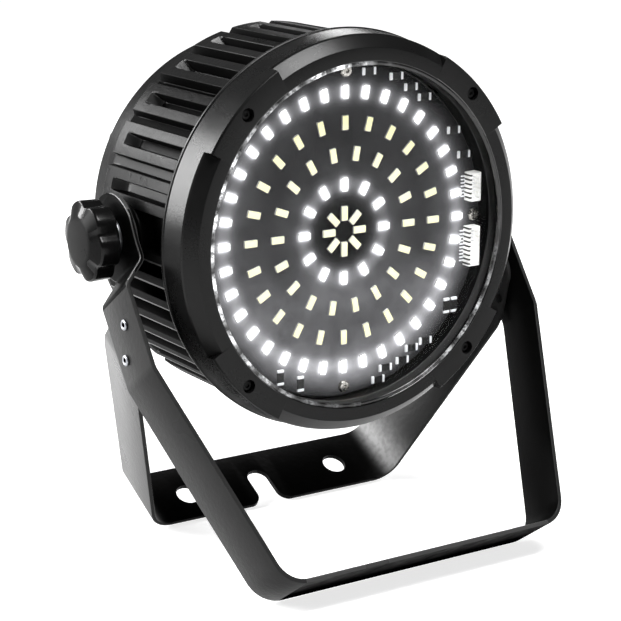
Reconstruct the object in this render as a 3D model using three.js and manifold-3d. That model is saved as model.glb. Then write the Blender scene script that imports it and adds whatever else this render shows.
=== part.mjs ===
// Strobe light: a round LED head with a ribbed housing, held in a double U bracket.
// Millimetres. +Z is up, +X is to the right of someone who faces the light, and the light
// shines along -Y. The origin is on the floor, at the middle of the footprint's box.
//
// The head is drawn in its own frame, and so is the bracket pair: x to the right, y up and
// z out of the window. The head's z = 0 is the front face of the LED board.

import * as THREE from 'three';
import { mergeVertices } from 'three/addons/utils/BufferGeometryUtils.js';
import Module from 'manifold-3d';

const wasm = await Module();
wasm.setup();

// Clearances and cutting

const gap = 0.3; // between pieces that seat on each other
const overrun = 2; // how far a cutter runs past the face that it opens
const bite = 0.5; // how deep a joined detail is rooted in the piece that carries it

// LED board

const boardRadius = 72.5;
const outerRingInset = 12.5; // outer ring of LEDs, in from the board's edge
const ringRadiusShares = [1, 0.7816, 0.5612, 0.3407, 0.1304]; // of the outer ring
const ringCounts = [36, 24, 18, 12, 8];
const ringStartPitchShares = [0, 0, 0.5, 0, 0]; // of the ring's own pitch, from 12 o'clock
const ledLength = 6.8; // along the ring's radius
const ledWidth = 3;
const ledHeight = 0.9;
const boardThickness = 1.6;
const boardScrewInset = 3.5;
const boardScrewAngles = [0, 90, 180, 270];
const connectorInset = 8.5; // its inner side, in from the board's edge
const connectorWidth = 6;
const connectorHeight = 5;
const upperConnectorLength = 13;
const upperConnectorY = 13.2;
const lowerConnectorLength = 18;
const lowerConnectorY = -13.7;
const connectorPinReach = 1.1;
const connectorPinWidth = 0.7;
const connectorPinHeight = 0.8;
const connectorPinPitch = 2;
const connectorPocketWall = 1;
const connectorPocketDepth = 3;

// Carrier plate and what hangs behind it

const carrierThickness = 1.5;
const carrierRimClearance = 0.4;
const pillarLength = 14;
const pillarRadius = 2.8;
const pillarInsetX = 10;
const pillarInsetY = 7;
const driverBoardClearance = 4.2; // from its corners to the housing's ledge
const driverBoardDiagonal = 53.5; // degrees from upright
const driverBoardThickness = 1.6;
const transformerWidth = 30;
const transformerHeight = 26;
const transformerDepth = 22;
const capacitorRadius = 8;
const capacitorLength = 20;
const capacitorPitch = 19;
const heatSinkWidth = 34;
const heatSinkHeight = 8;
const heatSinkDepth = 16;

// Bezel, window and gasket

const bezelFrontZ = 15;
const bezelRearZ = -4.5;
const bezelLipThickness = 3.7;
const bezelSideTaper = 2; // front edge's radius under the rear edge's
const bezelEdgeChamfer = 0.8;
const bezelRecessInset = 4.7;
const bezelRecessDepth = 5.6;
const bezelRecessSlopeWidth = 5.2;
const bezelPadHalfAngle = 15; // degrees either side of each screw
const bezelPadAngles = [45, 135, 225, 315];
const bezelSkirtWall = 4.3;
const bezelRearLipHeight = 1.2;
const bezelRearLipStep = 0.5;
const screwBoreRadius = 2.9;
const screwBoreDepth = 3.4;
const screwBoreWall = 0.2; // between a bore and the window's seat
const screwShankRadius = 1.2;
const screwShankLength = 7;
const bezelScrewLength = 10;
const screwHeadRadius = 2.4;
const screwHeadHeight = 1.6;
const screwCrownShare = 0.75; // of the head's radius
const screwRecessRadius = 0.9;
const screwRecessDepth = 0.8;
const windowThickness = 3;
const windowSeatWidth = 2.4; // window behind the lip
const windowSeatClearance = 0.4;
const windowChamfer = 0.5;
const gasketThickness = 0.9;
const gasketWidth = 3.7;

// Rear housing

const bezelOverhang = 3.5; // bezel's rear edge over the ribs
const boardRimClearance = 1.9;
const housingRibEndZ = -63;
const housingSlopeEndZ = -70;
const housingSlopeUndercut = 0.9; // rear slope's end under the slots' floor
const housingRearTaper = 1.2;
const housingRearZ = -83.8;
const housingRearEdge = 1.6;
const housingWall = 2.5;
const housingFrontRingWall = 8;
const housingLedgeWidth = 8;
const housingLedgeDepth = 4.5;
const housingRearWall = 3;
const slotCount = 52;
const slotDepth = 5;
const slotMouthWidth = 5.6;
const slotFloorWidth = 4.4;
const slotFrontZ = -6;
const shortSlotRampStartZ = -50.5;
const shortSlotRampEndZ = -57;
const pivotBehindBoard = 41;
const bossRadius = 14.5;
const bossGapSlots = [12.5, 39.5]; // where a rib is left out, beside each pivot boss
const bossProud = 0.5; // boss face over the ribs
const insertRadius = 6;
const insertLength = 11;
const insertFlats = 6;

// Rear panel and its fittings

const panelThickness = 1.8;
const panelCornerRadius = 7;
const panelLandWall = 0.9; // housing between a panel screw's hole and the opening
const panelScrewInset = 4.6;
const panelScrewHeadRadius = 2.8;
const fittingScrewClearance = 0.6; // between a fitting's flange and a panel screw's head
const inletSideMargin = 2;
const inletFlangeWidth = 48;
const inletFlangeHeight = 24;
const inletFlangeThickness = 2.4;
const inletBodyWidth = 30;
const inletBodyHeight = 22;
const inletBodyDepth = 20;
const inletSocketWidth = 25;
const inletSocketHeight = 17;
const inletSocketCorner = 4.5;
const inletSocketDepth = 17;
const inletPinLength = 10.5;
const inletPinWidth = 2;
const inletPinHeight = 5;
const inletPinSpread = 7;
const inletPinDrop = 2.5;
const fuseFlangeRadius = 8;
const fuseFlangeThickness = 2;
const fuseBodyRadius = 6;
const fuseBodyLength = 24;
const fuseCapRadius = 5.4;
const fuseCapHeight = 5;
const fuseCapTopShares = [0.85, 0.8]; // of the cap's radius and height, at its eased edge
const fuseCapSlotWidth = 1.4;
const fuseCapSlotDepth = 1;
const signalTopMargin = 10.5;
const signalBottomMargin = 6.5;
const signalSpacing = 7;
const signalFlangeWidth = 26;
const signalFlangeHeight = 31;
const signalFlangeThickness = 2;
const signalFlangeCorner = 3;
const signalBodyRadius = 11.6;
const signalBodyDepth = 20;
const signalSocketRadius = 9.4;
const signalSocketDepth = 15.5;
const signalPinRadius = 1.2;
const signalPinLength = 9;
const signalPinCircle = 4.2;
const signalCoreRadius = 7.6;
const signalCoreSetback = 1;
const signalContactRadius = 1.4;
const signalContactDepth = 8;
const latchWidth = 7;
const latchHeight = 4;
const latchDepth = 6;
const latchProud = 1.6;
const latchTravel = 1.2;
const latchCentreY = 12.9; // from the output socket's axis
const displaySideMargin = 8;
const displayTopMargin = 11;
const displayWidth = 44;
const displayHeight = 16;
const displayThickness = 1.6;
const displayCorner = 2;
const displayRim = 1.5;
const buttonDrop = 11.5; // buttons' centres under the display
const buttonPitch = 12;
const buttonCount = 4;
const buttonRadius = 3;
const buttonProud = 1.6;
const buttonTopShares = [0.8, 0.7]; // of its radius and its height, at the eased edge
const buttonCollarRadius = 4;
const buttonCollarThickness = 1;
const buttonStemRadius = 1.6;
const buttonTravel = 1;
const switchBodySize = 6;
const switchBodyHeight = 3.5;
const displayBoardDepth = 12; // from the panel's back to the display board's face
const displayBoardOverhang = 10.75; // past the display's and the buttons' centre lines
const displayBoardThickness = 1.6;
const displayBoardLegRadius = 2.2;
const displayBoardLegInset = 3.2;
const digitBlockWidth = 38;
const digitBlockHeight = 13;
const eyeletInset = 16.4; // its centre, in from the rear wall's edge
const eyeletWire = 2.5; // wire radius
const eyeletInnerRadius = 7;
const eyeletBaseRadius = 6;
const eyeletBaseHeight = 3;
const footAngle = 62; // degrees from upright, the same four times over
const footPanelClearance = 1.5;
const footRadius = 4.5;
const footHeight = 4.2;
const footEdge = 1;

// Bracket pair

const pivotHeight = 140; // above the floor
const strapThickness = 2;
const earRadius = 19;
const studHoleRadius = 4.4;
const jogOutset = 10.2; // the front bracket's flat legs outside its ears
const jogLength = 9.8;
const jogBendRadius = 4;
const frontLean = 35.2; // degrees forward of straight down
const frontWidth = 26.8;
const frontOffset = 4.2; // strap's centre line in front of the pivot
const frontFlatLength = 38; // from the jog to the kink
const frontLegTaper = 28.6; // crossbar corner inside the flat legs
const frontBendRadius = 14;
const kinkBendRadius = 12;
const rearLean = 27.9; // degrees behind straight down
const rearWidth = 31.6;
const rearShoulderDrop = 5.5; // full width starts this far down the leg from its kink
const rearLegTaper = 32.4;
const rearBendRadius = 13;
const rearTabMargin = 5.6; // tab's end past the upper rivet
const rearTabRadius = 10;
const barHoleRadius = 5.6;
const barHoleInset = 24.8; // from the crossbar's corner
const barHoleOffset = 1.5;
const hookSlotHalfWidth = 5.4;
const hookSlotX = -2;
const hookSlotEnd = 1; // centre of the slot's round end, from the bar's centre line
const hookLipRadius = 6;
const upperRivetDrop = 14.3; // down the front leg from the jog
const upperRivetForward = 2.1; // in front of the front strap's centre line
const rivetPitch = 12.7; // along the front leg
const lowerRivetBack = 5.9; // behind the front strap's centre line
const rivetEdgeDistance = 9.6; // lower rivet in front of the rear strap's centre line
const rivetKinkDistance = 7; // from the lower rivet to the rear leg's kink
const rivetCrownShare = 0.8; // of the head's radius
const rivetHeadRadius = 2;
const rivetHeadHeight = 0.8;
const rivetShankRadius = 1.2;
const rivetBoreRadius = 0.7;

// Knobs

const knobLobes = 6;
const knobLobeRadius = 17.2;
const knobValleyRadius = 12.6;
const knobLength = 15.4;
const knobEdge = 1.8;
const knobCollarRadius = 10;
const knobCollarLength = 2.5;
const knobDishRadius = 8.5;
const knobDishDepth = 1;
const knobFirstLobeAngle = 20; // degrees from straight up towards the front
const studRadius = 4;
const studTipClearance = 1.5;
const studHeadDepth = 8;
const knobWasherRadius = 9.5;
const knobWasherThickness = 1.2;
const frictionWasherRadius = 13;
const frictionWasherThickness = 3.2;

// How finely round forms are faceted

const bezelFacets = 44;
const windowFacets = 32;
const roundFacets = 16;
const buttonFacets = 10;
const smallFacets = 8;
const screwFacets = 6;
const bendSteps = 4;
const knobLobeFacets = 6;
const eyeletFacets = 14;

// Places that follow from the sizes above

const boardBackZ = -boardThickness;
const carrierFrontZ = boardBackZ - gap;
const carrierBackZ = carrierFrontZ - carrierThickness;
const ledgeZ = carrierBackZ - gap;
const pillarEndZ = carrierBackZ - gap - pillarLength;
const driverBoardFrontZ = pillarEndZ - gap;
const driverBoardBackZ = driverBoardFrontZ - driverBoardThickness;
const lipBackZ = bezelFrontZ - bezelLipThickness;
const windowFrontZ = lipBackZ - gap;
const windowBackZ = windowFrontZ - windowThickness;
const gasketFrontZ = windowBackZ - gap;
const gasketBackZ = gasketFrontZ - gasketThickness;
const housingFrontZ = gasketBackZ - gap;

const outerRingRadius = boardRadius - outerRingInset;
const boardScrewPitchRadius = boardRadius - boardScrewInset;
const connectorInnerX = boardRadius - connectorInset;
const frontRingBore = boardRadius + boardRimClearance;
const ledgeBore = frontRingBore - housingLedgeWidth;
const driverBoardReach = ledgeBore - driverBoardClearance;
const driverBoardWidth = 2 * driverBoardReach * Math.sin((driverBoardDiagonal * Math.PI) / 180);
const driverBoardHeight = 2 * driverBoardReach * Math.cos((driverBoardDiagonal * Math.PI) / 180);
const spigotRadius = frontRingBore + housingFrontRingWall;
const skirtInnerRadius = spigotRadius + gap;
const bezelRearRadius = skirtInnerRadius + bezelSkirtWall;
const bezelFrontRadius = bezelRearRadius - bezelSideTaper;
const bezelRecessInnerRadius = bezelFrontRadius - bezelRecessInset;
const bezelLipRadius = frontRingBore;
const windowRimRadius = bezelLipRadius + windowSeatWidth;
const windowSeatRadius = windowRimRadius + windowSeatClearance;
const screwPitchRadius = windowSeatRadius + screwBoreWall + screwBoreRadius;
const housingRibRadius = bezelRearRadius - bezelOverhang;
const housingSlopeEndRadius = housingRibRadius - slotDepth - housingSlopeUndercut;
const housingRearRadius = housingSlopeEndRadius - housingRearTaper;
const housingBore = housingRibRadius - slotDepth - housingWall;
const rearBore = housingRearRadius - housingWall;
const bossFaceX = housingRibRadius + bossProud;
const rearWallInnerZ = housingRearZ + housingRearWall;
const panelFrontZ = housingRearZ - gap;
const panelOuterZ = panelFrontZ - panelThickness;
const fittingSeatZ = panelOuterZ - gap;
const displayBoardZ = panelFrontZ + displayBoardDepth;
const earInnerX = bossFaceX + gap + frictionWasherThickness + gap;
const earOuterX = earInnerX + strapThickness;
const flangeOuterX = earOuterX + jogOutset;
const flangeInnerX = flangeOuterX - strapThickness;
const rearFlangeOuterX = flangeInnerX - gap;
const rearFlangeInnerX = rearFlangeOuterX - strapThickness;
const knobWasherOuterX = earOuterX + gap + knobWasherThickness;
const knobBaseX = knobWasherOuterX + gap;
const knobOuterX = knobBaseX + knobLength;
const slotPitch = 360 / slotCount;

const radians = THREE.MathUtils.degToRad;
const sinOf = (degrees) => Math.sin(radians(degrees));
const cosOf = (degrees) => Math.cos(radians(degrees));

const footPitchRadius = housingRearRadius - housingRearEdge - footRadius;
const eyeletY = housingRearRadius - eyeletInset;
const panelWidth = 2 * (footPitchRadius * sinOf(footAngle) - footRadius - footPanelClearance);
const panelHeight = signalTopMargin + 2 * signalFlangeHeight + signalSpacing + signalBottomMargin;
const panelWindowMargin = panelScrewInset + screwShankRadius + gap + panelLandWall;
const fittingInset = panelScrewInset + panelScrewHeadRadius + fittingScrewClearance;
const inletX = inletSideMargin + inletFlangeWidth / 2 - panelWidth / 2;
const inletY = fittingInset + inletFlangeHeight / 2 - panelHeight / 2;
const signalX = panelWidth / 2 - fittingInset - signalFlangeWidth / 2;
const outputY = panelHeight / 2 - signalTopMargin - signalFlangeHeight / 2;
const inputY = outputY - signalFlangeHeight - signalSpacing;
const fuseX = (inletX + inletFlangeWidth / 2 + signalX - signalFlangeWidth / 2) / 2;
const fuseY = inletY;
const displayX = displaySideMargin + displayWidth / 2 - panelWidth / 2;
const displayY = panelHeight / 2 - displayTopMargin - displayHeight / 2;
const buttonY = displayY - displayHeight / 2 - buttonDrop;
const buttonFirstX = displayX - ((buttonCount - 1) * buttonPitch) / 2;
const displayBoardHeight = displayY - buttonY + 2 * displayBoardOverhang;

// The rivets are placed on the front legs, and the rear legs' tabs are built round them.
const jogStart = knobLobeRadius;
const jogEnd = jogStart + jogLength;
const frontKink = jogEnd + frontFlatLength;
const frontCornerX = flangeOuterX - frontLegTaper;
const rivetPlaces = [
  { along: jogEnd + upperRivetDrop, across: frontOffset + upperRivetForward },
  { along: jogEnd + upperRivetDrop + rivetPitch, across: frontOffset - lowerRivetBack },
];
const [upperRivet, lowerRivet] = rivetPlaces.map(({ along, across }) => ({
  along: along * cosOf(frontLean + rearLean) - across * sinOf(frontLean + rearLean),
  across: along * sinOf(frontLean + rearLean) + across * cosOf(frontLean + rearLean),
}));
const rearOffset = lowerRivet.across - rivetEdgeDistance;
const rearKink = lowerRivet.along + rivetKinkDistance;
const rearShoulder = rearKink + rearShoulderDrop;
const rearTabTop = upperRivet.along - rearTabMargin;
const rearCornerX = rearFlangeOuterX - rearLegTaper;
const barHoleX = rearCornerX - barHoleInset;

// Both crossbars stand on the floor by their lower edges, so the legs' lengths follow.
const frontRise = (frontWidth / 2 - frontOffset) * sinOf(frontLean);
const rearDrop = (rearOffset + rearWidth / 2) * sinOf(rearLean);
const frontLength = (pivotHeight - frontRise) / cosOf(frontLean);
const rearLength = (pivotHeight - rearDrop) / cosOf(rearLean);
const eyeletReach = eyeletBaseHeight + 2 * eyeletInnerRadius + 2 * eyeletWire;
const frontReach = frontLength * sinOf(frontLean) + (frontOffset + frontWidth / 2) * cosOf(frontLean);
const rearReach = gap + eyeletReach - housingRearZ - pivotBehindBoard;
const pivotY = (frontReach - rearReach) / 2;

// Materials

const material = (color, roughness, metalness) =>
  new THREE.MeshStandardMaterial({ color, roughness, metalness });
const blackPlastic = material(0x1b1b1d, 0.55, 0);
const glossBlack = material(0x0d0d0f, 0.3, 0);
const clearPlastic = material(0xdfe6ea, 0.05, 0);
const blackRubber = material(0x151515, 0.9, 0);
const boardWhite = material(0x8a8a8e, 0.45, 0);
const boardGreen = material(0x1d4a2c, 0.5, 0);
const connectorWhite = material(0xe6e4dc, 0.45, 0);
const blackSteel = material(0x232325, 0.5, 0.4);
const zincSteel = material(0xb4b6b8, 0.35, 1);
const nickel = material(0xc8c8c4, 0.25, 1);
const brass = material(0xb08d3f, 0.35, 1);

// Solid geometry helpers

/** Closed BufferGeometry to a solid, turned the right way out. */
function solidOf(geometry) {
  const bare = geometry.clone();
  bare.deleteAttribute('normal');
  bare.deleteAttribute('uv');
  const merged = mergeVertices(bare);
  const build = (triangles) =>
    new wasm.Manifold(
      new wasm.Mesh({
        numProp: 3,
        vertProperties: new Float32Array(merged.attributes.position.array),
        triVerts: triangles,
      }),
    );
  const faces = new Uint32Array(merged.index.array);
  const solid = build(faces);
  if (solid.volume() > 0) return solid;
  return build(faces.slice().reverse());
}

function geometryOf(solid) {
  const mesh = solid.getMesh();
  const geometry = new THREE.BufferGeometry();
  geometry.setAttribute('position', new THREE.BufferAttribute(mesh.vertProperties, 3));
  geometry.setIndex(new THREE.BufferAttribute(mesh.triVerts, 1));
  return geometry;
}

const join = (...solids) => solids.reduce((whole, piece) => whole.add(piece));
const cut = (body, ...tools) => tools.reduce((rest, tool) => rest.subtract(tool), body);

/** Solid of revolution about z from [radius, z] points that start and end on the axis or close. */
function turned(points, facets = roundFacets, firstAngle = 0) {
  const profile = points.map(([radius, z]) => new THREE.Vector2(radius, z));
  const onAxis = points[0][0] === 0 && points[points.length - 1][0] === 0;
  if (!onAxis) profile.push(profile[0].clone());
  const lathe = new THREE.LatheGeometry(profile, facets);
  lathe.rotateX(Math.PI / 2);
  lathe.rotateZ(firstAngle);
  return solidOf(lathe);
}

/** Round bar about z between two heights. */
const bar = (radius, lowZ, highZ, facets = roundFacets, firstAngle = 0) =>
  turned([[0, lowZ], [radius, lowZ], [radius, highZ], [0, highZ]], facets, firstAngle);

/** Round ring about z between two heights. */
function ring(innerRadius, outerRadius, lowZ, highZ, facets = roundFacets) {
  const section = [[innerRadius, lowZ], [outerRadius, lowZ], [outerRadius, highZ], [innerRadius, highZ]];
  return turned(section, facets);
}

/** Shape in the xy plane, drawn out along z between two heights. */
function prism(shape, lowZ, highZ, curveSegments = bendSteps) {
  const depth = highZ - lowZ;
  const geometry = new THREE.ExtrudeGeometry(shape, { depth, bevelEnabled: false, curveSegments });
  geometry.translate(0, 0, lowZ);
  return solidOf(geometry);
}

/** Box given by its centre in x and y, its width and height, and its low and high z. */
function block(centreX, centreY, width, height, lowZ, highZ) {
  const geometry = new THREE.BoxGeometry(width, height, highZ - lowZ);
  geometry.translate(centreX, centreY, (lowZ + highZ) / 2);
  return solidOf(geometry);
}

/** Rectangle with round corners about a centre. */
function roundedRectangle(centreX, centreY, width, height, corner) {
  const shape = new THREE.Shape();
  const right = centreX + width / 2;
  const left = centreX - width / 2;
  const top = centreY + height / 2;
  const bottom = centreY - height / 2;
  shape.absarc(right - corner, top - corner, corner, 0, Math.PI / 2);
  shape.absarc(left + corner, top - corner, corner, Math.PI / 2, Math.PI);
  shape.absarc(left + corner, bottom + corner, corner, Math.PI, Math.PI * 1.5);
  shape.absarc(right - corner, bottom + corner, corner, Math.PI * 1.5, Math.PI * 2);
  shape.closePath();
  return shape;
}

const at = (solid, x, y, z = 0) => solid.translate([x, y, z]);
/** A solid drawn about z, turned to lie along x, with its z pointing to +x. */
const alongX = (solid) => solid.rotate([0, 90, 0]);
/** Point on a circle about z, at a clock angle in degrees from 12 o'clock. */
const onClock = (radius, degrees) => [radius * sinOf(degrees), radius * cosOf(degrees)];

/** Offset an open path of [x, y] vertices to its left by a distance, with mitred corners. */
function offsetPath(vertices, distance) {
  const lines = vertices.slice(1).map((end, index) => {
    const start = vertices[index];
    const along = new THREE.Vector2(end[0] - start[0], end[1] - start[1]).normalize();
    const point = new THREE.Vector2(start[0] - along.y * distance, start[1] + along.x * distance);
    return { point, along };
  });
  const meet = (one, other) => {
    const between = other.point.clone().sub(one.point);
    const share = between.cross(other.along) / one.along.cross(other.along);
    return one.point.clone().addScaledVector(one.along, share).toArray();
  };
  const last = vertices.length - 1;
  return vertices.map((vertex, index) => {
    const line = lines[Math.min(index, lines.length - 1)];
    if (index === 0) return line.point.toArray();
    if (index === last) {
      return [vertex[0] - line.along.y * distance, vertex[1] + line.along.x * distance];
    }
    return meet(lines[index - 1], line);
  });
}

/** Path of [x, y] vertices with each inner corner replaced by an arc of its own radius. */
function filletPath(vertices, radii) {
  const points = [];
  vertices.forEach((vertex, index) => {
    const radius = radii[index];
    if (!radius) {
      points.push(vertex);
      return;
    }
    const corner = new THREE.Vector2(...vertex);
    const before = new THREE.Vector2(...vertices[index - 1]).sub(corner).normalize();
    const after = new THREE.Vector2(...vertices[index + 1]).sub(corner).normalize();
    const halfAngle = Math.acos(THREE.MathUtils.clamp(before.dot(after), -1, 1)) / 2;
    const reach = radius / Math.sin(halfAngle);
    const centre = corner.clone().addScaledVector(before.clone().add(after).normalize(), reach);
    const tangent = radius / Math.tan(halfAngle);
    const start = corner.clone().addScaledVector(before, tangent).sub(centre);
    const sweep = Math.PI - 2 * halfAngle;
    const side = Math.sign(before.cross(after)) || 1;
    for (let step = 0; step <= bendSteps; step += 1) {
      const turn = (-side * sweep * step) / bendSteps;
      const spoke = start.clone().rotateAround(new THREE.Vector2(), turn);
      points.push(centre.clone().add(spoke).toArray());
    }
  });
  return points;
}

// Front of the head

function ledBoard() {
  const disc = bar(boardRadius, boardBackZ, 0, windowFacets);
  const leds = ringCounts.flatMap((count, ringIndex) => {
    const radius = outerRingRadius * ringRadiusShares[ringIndex];
    const pitch = 360 / count;
    return Array.from({ length: count }, (_, index) => {
      const led = block(0, radius, ledWidth, ledLength, -bite, ledHeight);
      return led.rotate([0, 0, pitch * (index + ringStartPitchShares[ringIndex])]);
    });
  });
  const hole = bar(screwShankRadius + gap, boardBackZ - overrun, overrun, screwFacets);
  const holes = boardScrewAngles.map((angle) => at(hole, ...onClock(boardScrewPitchRadius, angle)));
  return cut(join(disc, ...leds), ...holes);
}

/** Multi-pin header: an open-topped shroud with a row of pins along its inner side. */
function boardConnector(length, centreY) {
  const centreX = connectorInnerX + connectorWidth / 2;
  const shroud = block(centreX, centreY, connectorWidth, length, gap, connectorHeight);
  const pocketWidth = connectorWidth - 2 * connectorPocketWall;
  const pocketLength = length - 2 * connectorPocketWall;
  const pocketFloor = connectorHeight - connectorPocketDepth;
  const pocketTop = connectorHeight + overrun;
  const pocket = block(centreX, centreY, pocketWidth, pocketLength, pocketFloor, pocketTop);
  const pinCount = Math.floor(pocketLength / connectorPinPitch);
  const pinCentreX = connectorInnerX - connectorPinReach / 2 + bite / 2;
  const pins = Array.from({ length: pinCount }, (_, index) => {
    const y = centreY + (index - (pinCount - 1) / 2) * connectorPinPitch;
    const pinLength = connectorPinReach + bite;
    return block(pinCentreX, y, pinLength, connectorPinWidth, gap, gap + connectorPinHeight);
  });
  return join(cut(shroud, pocket), ...pins);
}

function boardCarrier() {
  const rim = frontRingBore - carrierRimClearance;
  const plate = bar(rim, carrierBackZ, carrierFrontZ, windowFacets);
  const hole = bar(screwShankRadius + gap, carrierBackZ - overrun, carrierFrontZ + overrun, screwFacets);
  const holes = boardScrewAngles.map((angle) => at(hole, ...onClock(boardScrewPitchRadius, angle)));
  return cut(plate, ...holes);
}

/** Pan head screw along z: the head stands on seatZ and the shank runs down from it. */
function screw(seatZ, shankLength, headRadius, headHeight) {
  const body = turned(
    [
      [0, seatZ - shankLength],
      [screwShankRadius, seatZ - shankLength],
      [screwShankRadius, seatZ],
      [headRadius, seatZ],
      [headRadius, seatZ + headHeight / 2],
      [headRadius * screwCrownShare, seatZ + headHeight],
      [0, seatZ + headHeight],
    ],
    screwFacets,
  );
  const topZ = seatZ + headHeight;
  return cut(body, bar(screwRecessRadius, topZ - screwRecessDepth, topZ + overrun, screwFacets));
}

/** The bezel is a turned ring; between its four pads the front edge slopes away. */
function frontBezel() {
  const chamferedRing = turned(
    [
      [bezelLipRadius, bezelFrontZ],
      [bezelLipRadius, lipBackZ],
      [windowSeatRadius, lipBackZ],
      [windowSeatRadius, housingFrontZ + gap],
      [skirtInnerRadius, housingFrontZ + gap],
      [skirtInnerRadius, bezelRearZ],
      [bezelRearRadius, bezelRearZ],
      [bezelRearRadius, bezelRearZ + bezelRearLipHeight],
      [bezelRearRadius - bezelRearLipStep, bezelRearZ + bezelRearLipHeight + bezelRearLipStep],
      [bezelFrontRadius, bezelFrontZ - bezelEdgeChamfer],
      [bezelFrontRadius - bezelEdgeChamfer, bezelFrontZ],
    ],
    bezelFacets,
  );
  const recessOuterRadius = bezelRecessInnerRadius + bezelRecessSlopeWidth;
  const recessRing = turned(
    [
      [bezelRecessInnerRadius, bezelFrontZ],
      [recessOuterRadius, bezelFrontZ - bezelRecessDepth],
      [recessOuterRadius + overrun, bezelFrontZ - bezelRecessDepth],
      [recessOuterRadius + overrun, bezelFrontZ + overrun],
      [bezelRecessInnerRadius, bezelFrontZ + overrun],
    ],
    bezelFacets,
  );
  const padWedges = bezelPadAngles.map((angle) => {
    const reach = bezelRearRadius + overrun;
    const wedge = new THREE.Shape();
    wedge.moveTo(0, 0);
    [-bezelPadHalfAngle, 0, bezelPadHalfAngle].forEach((turn) => {
      wedge.lineTo(...onClock(reach / cosOf(bezelPadHalfAngle), angle + turn));
    });
    wedge.closePath();
    return prism(wedge, bezelRearZ, bezelFrontZ + 2 * overrun);
  });
  const bores = bezelPadAngles.flatMap((angle) => {
    const [x, y] = onClock(screwPitchRadius, angle);
    const seatZ = bezelFrontZ - screwBoreDepth;
    return [
      at(bar(screwBoreRadius, seatZ, bezelFrontZ + overrun, roundFacets), x, y),
      at(bar(screwShankRadius + gap, bezelRearZ, bezelFrontZ, screwFacets), x, y),
    ];
  });
  return cut(chamferedRing, cut(recessRing, ...padWedges), ...bores);
}

function frontWindow() {
  return turned(
    [
      [0, windowBackZ],
      [windowRimRadius, windowBackZ],
      [windowRimRadius, windowFrontZ - windowChamfer],
      [windowRimRadius - windowChamfer, windowFrontZ],
      [0, windowFrontZ],
    ],
    windowFacets,
  );
}

const windowGasket = () =>
  ring(windowRimRadius - gasketWidth, windowRimRadius, gasketBackZ, gasketFrontZ, windowFacets);

// Rear housing

/** Slot cutter: a keystone section along z, whose floor can climb to the surface at its end. */
function slotCutter(isLong) {
  const floorRadius = housingRibRadius - slotDepth;
  const mouthRadius = housingRibRadius + overrun;
  const section = new THREE.Shape();
  section.moveTo(-slotFloorWidth / 2, floorRadius);
  section.lineTo(slotFloorWidth / 2, floorRadius);
  section.lineTo(slotMouthWidth / 2, mouthRadius);
  section.lineTo(-slotMouthWidth / 2, mouthRadius);
  section.closePath();
  const cutter = prism(section, shortSlotRampEndZ, slotFrontZ);
  if (isLong) return prism(section, housingSlopeEndZ - overrun, slotFrontZ);
  const ramp = new THREE.Shape();
  ramp.moveTo(floorRadius - overrun, shortSlotRampEndZ - overrun);
  ramp.lineTo(mouthRadius + overrun, shortSlotRampEndZ - overrun);
  ramp.lineTo(mouthRadius + overrun, shortSlotRampEndZ);
  ramp.lineTo(housingRibRadius, shortSlotRampEndZ);
  const rampRise = (shortSlotRampStartZ - shortSlotRampEndZ) / slotDepth;
  ramp.lineTo(floorRadius - overrun, shortSlotRampStartZ + overrun * rampRise);
  ramp.closePath();
  // The ramp is drawn in radius and z, extruded across the slot and stood up to face y.
  const across = prism(ramp, -slotMouthWidth, slotMouthWidth).rotate([90, 0, 90]);
  return cut(cutter, across);
}

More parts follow.
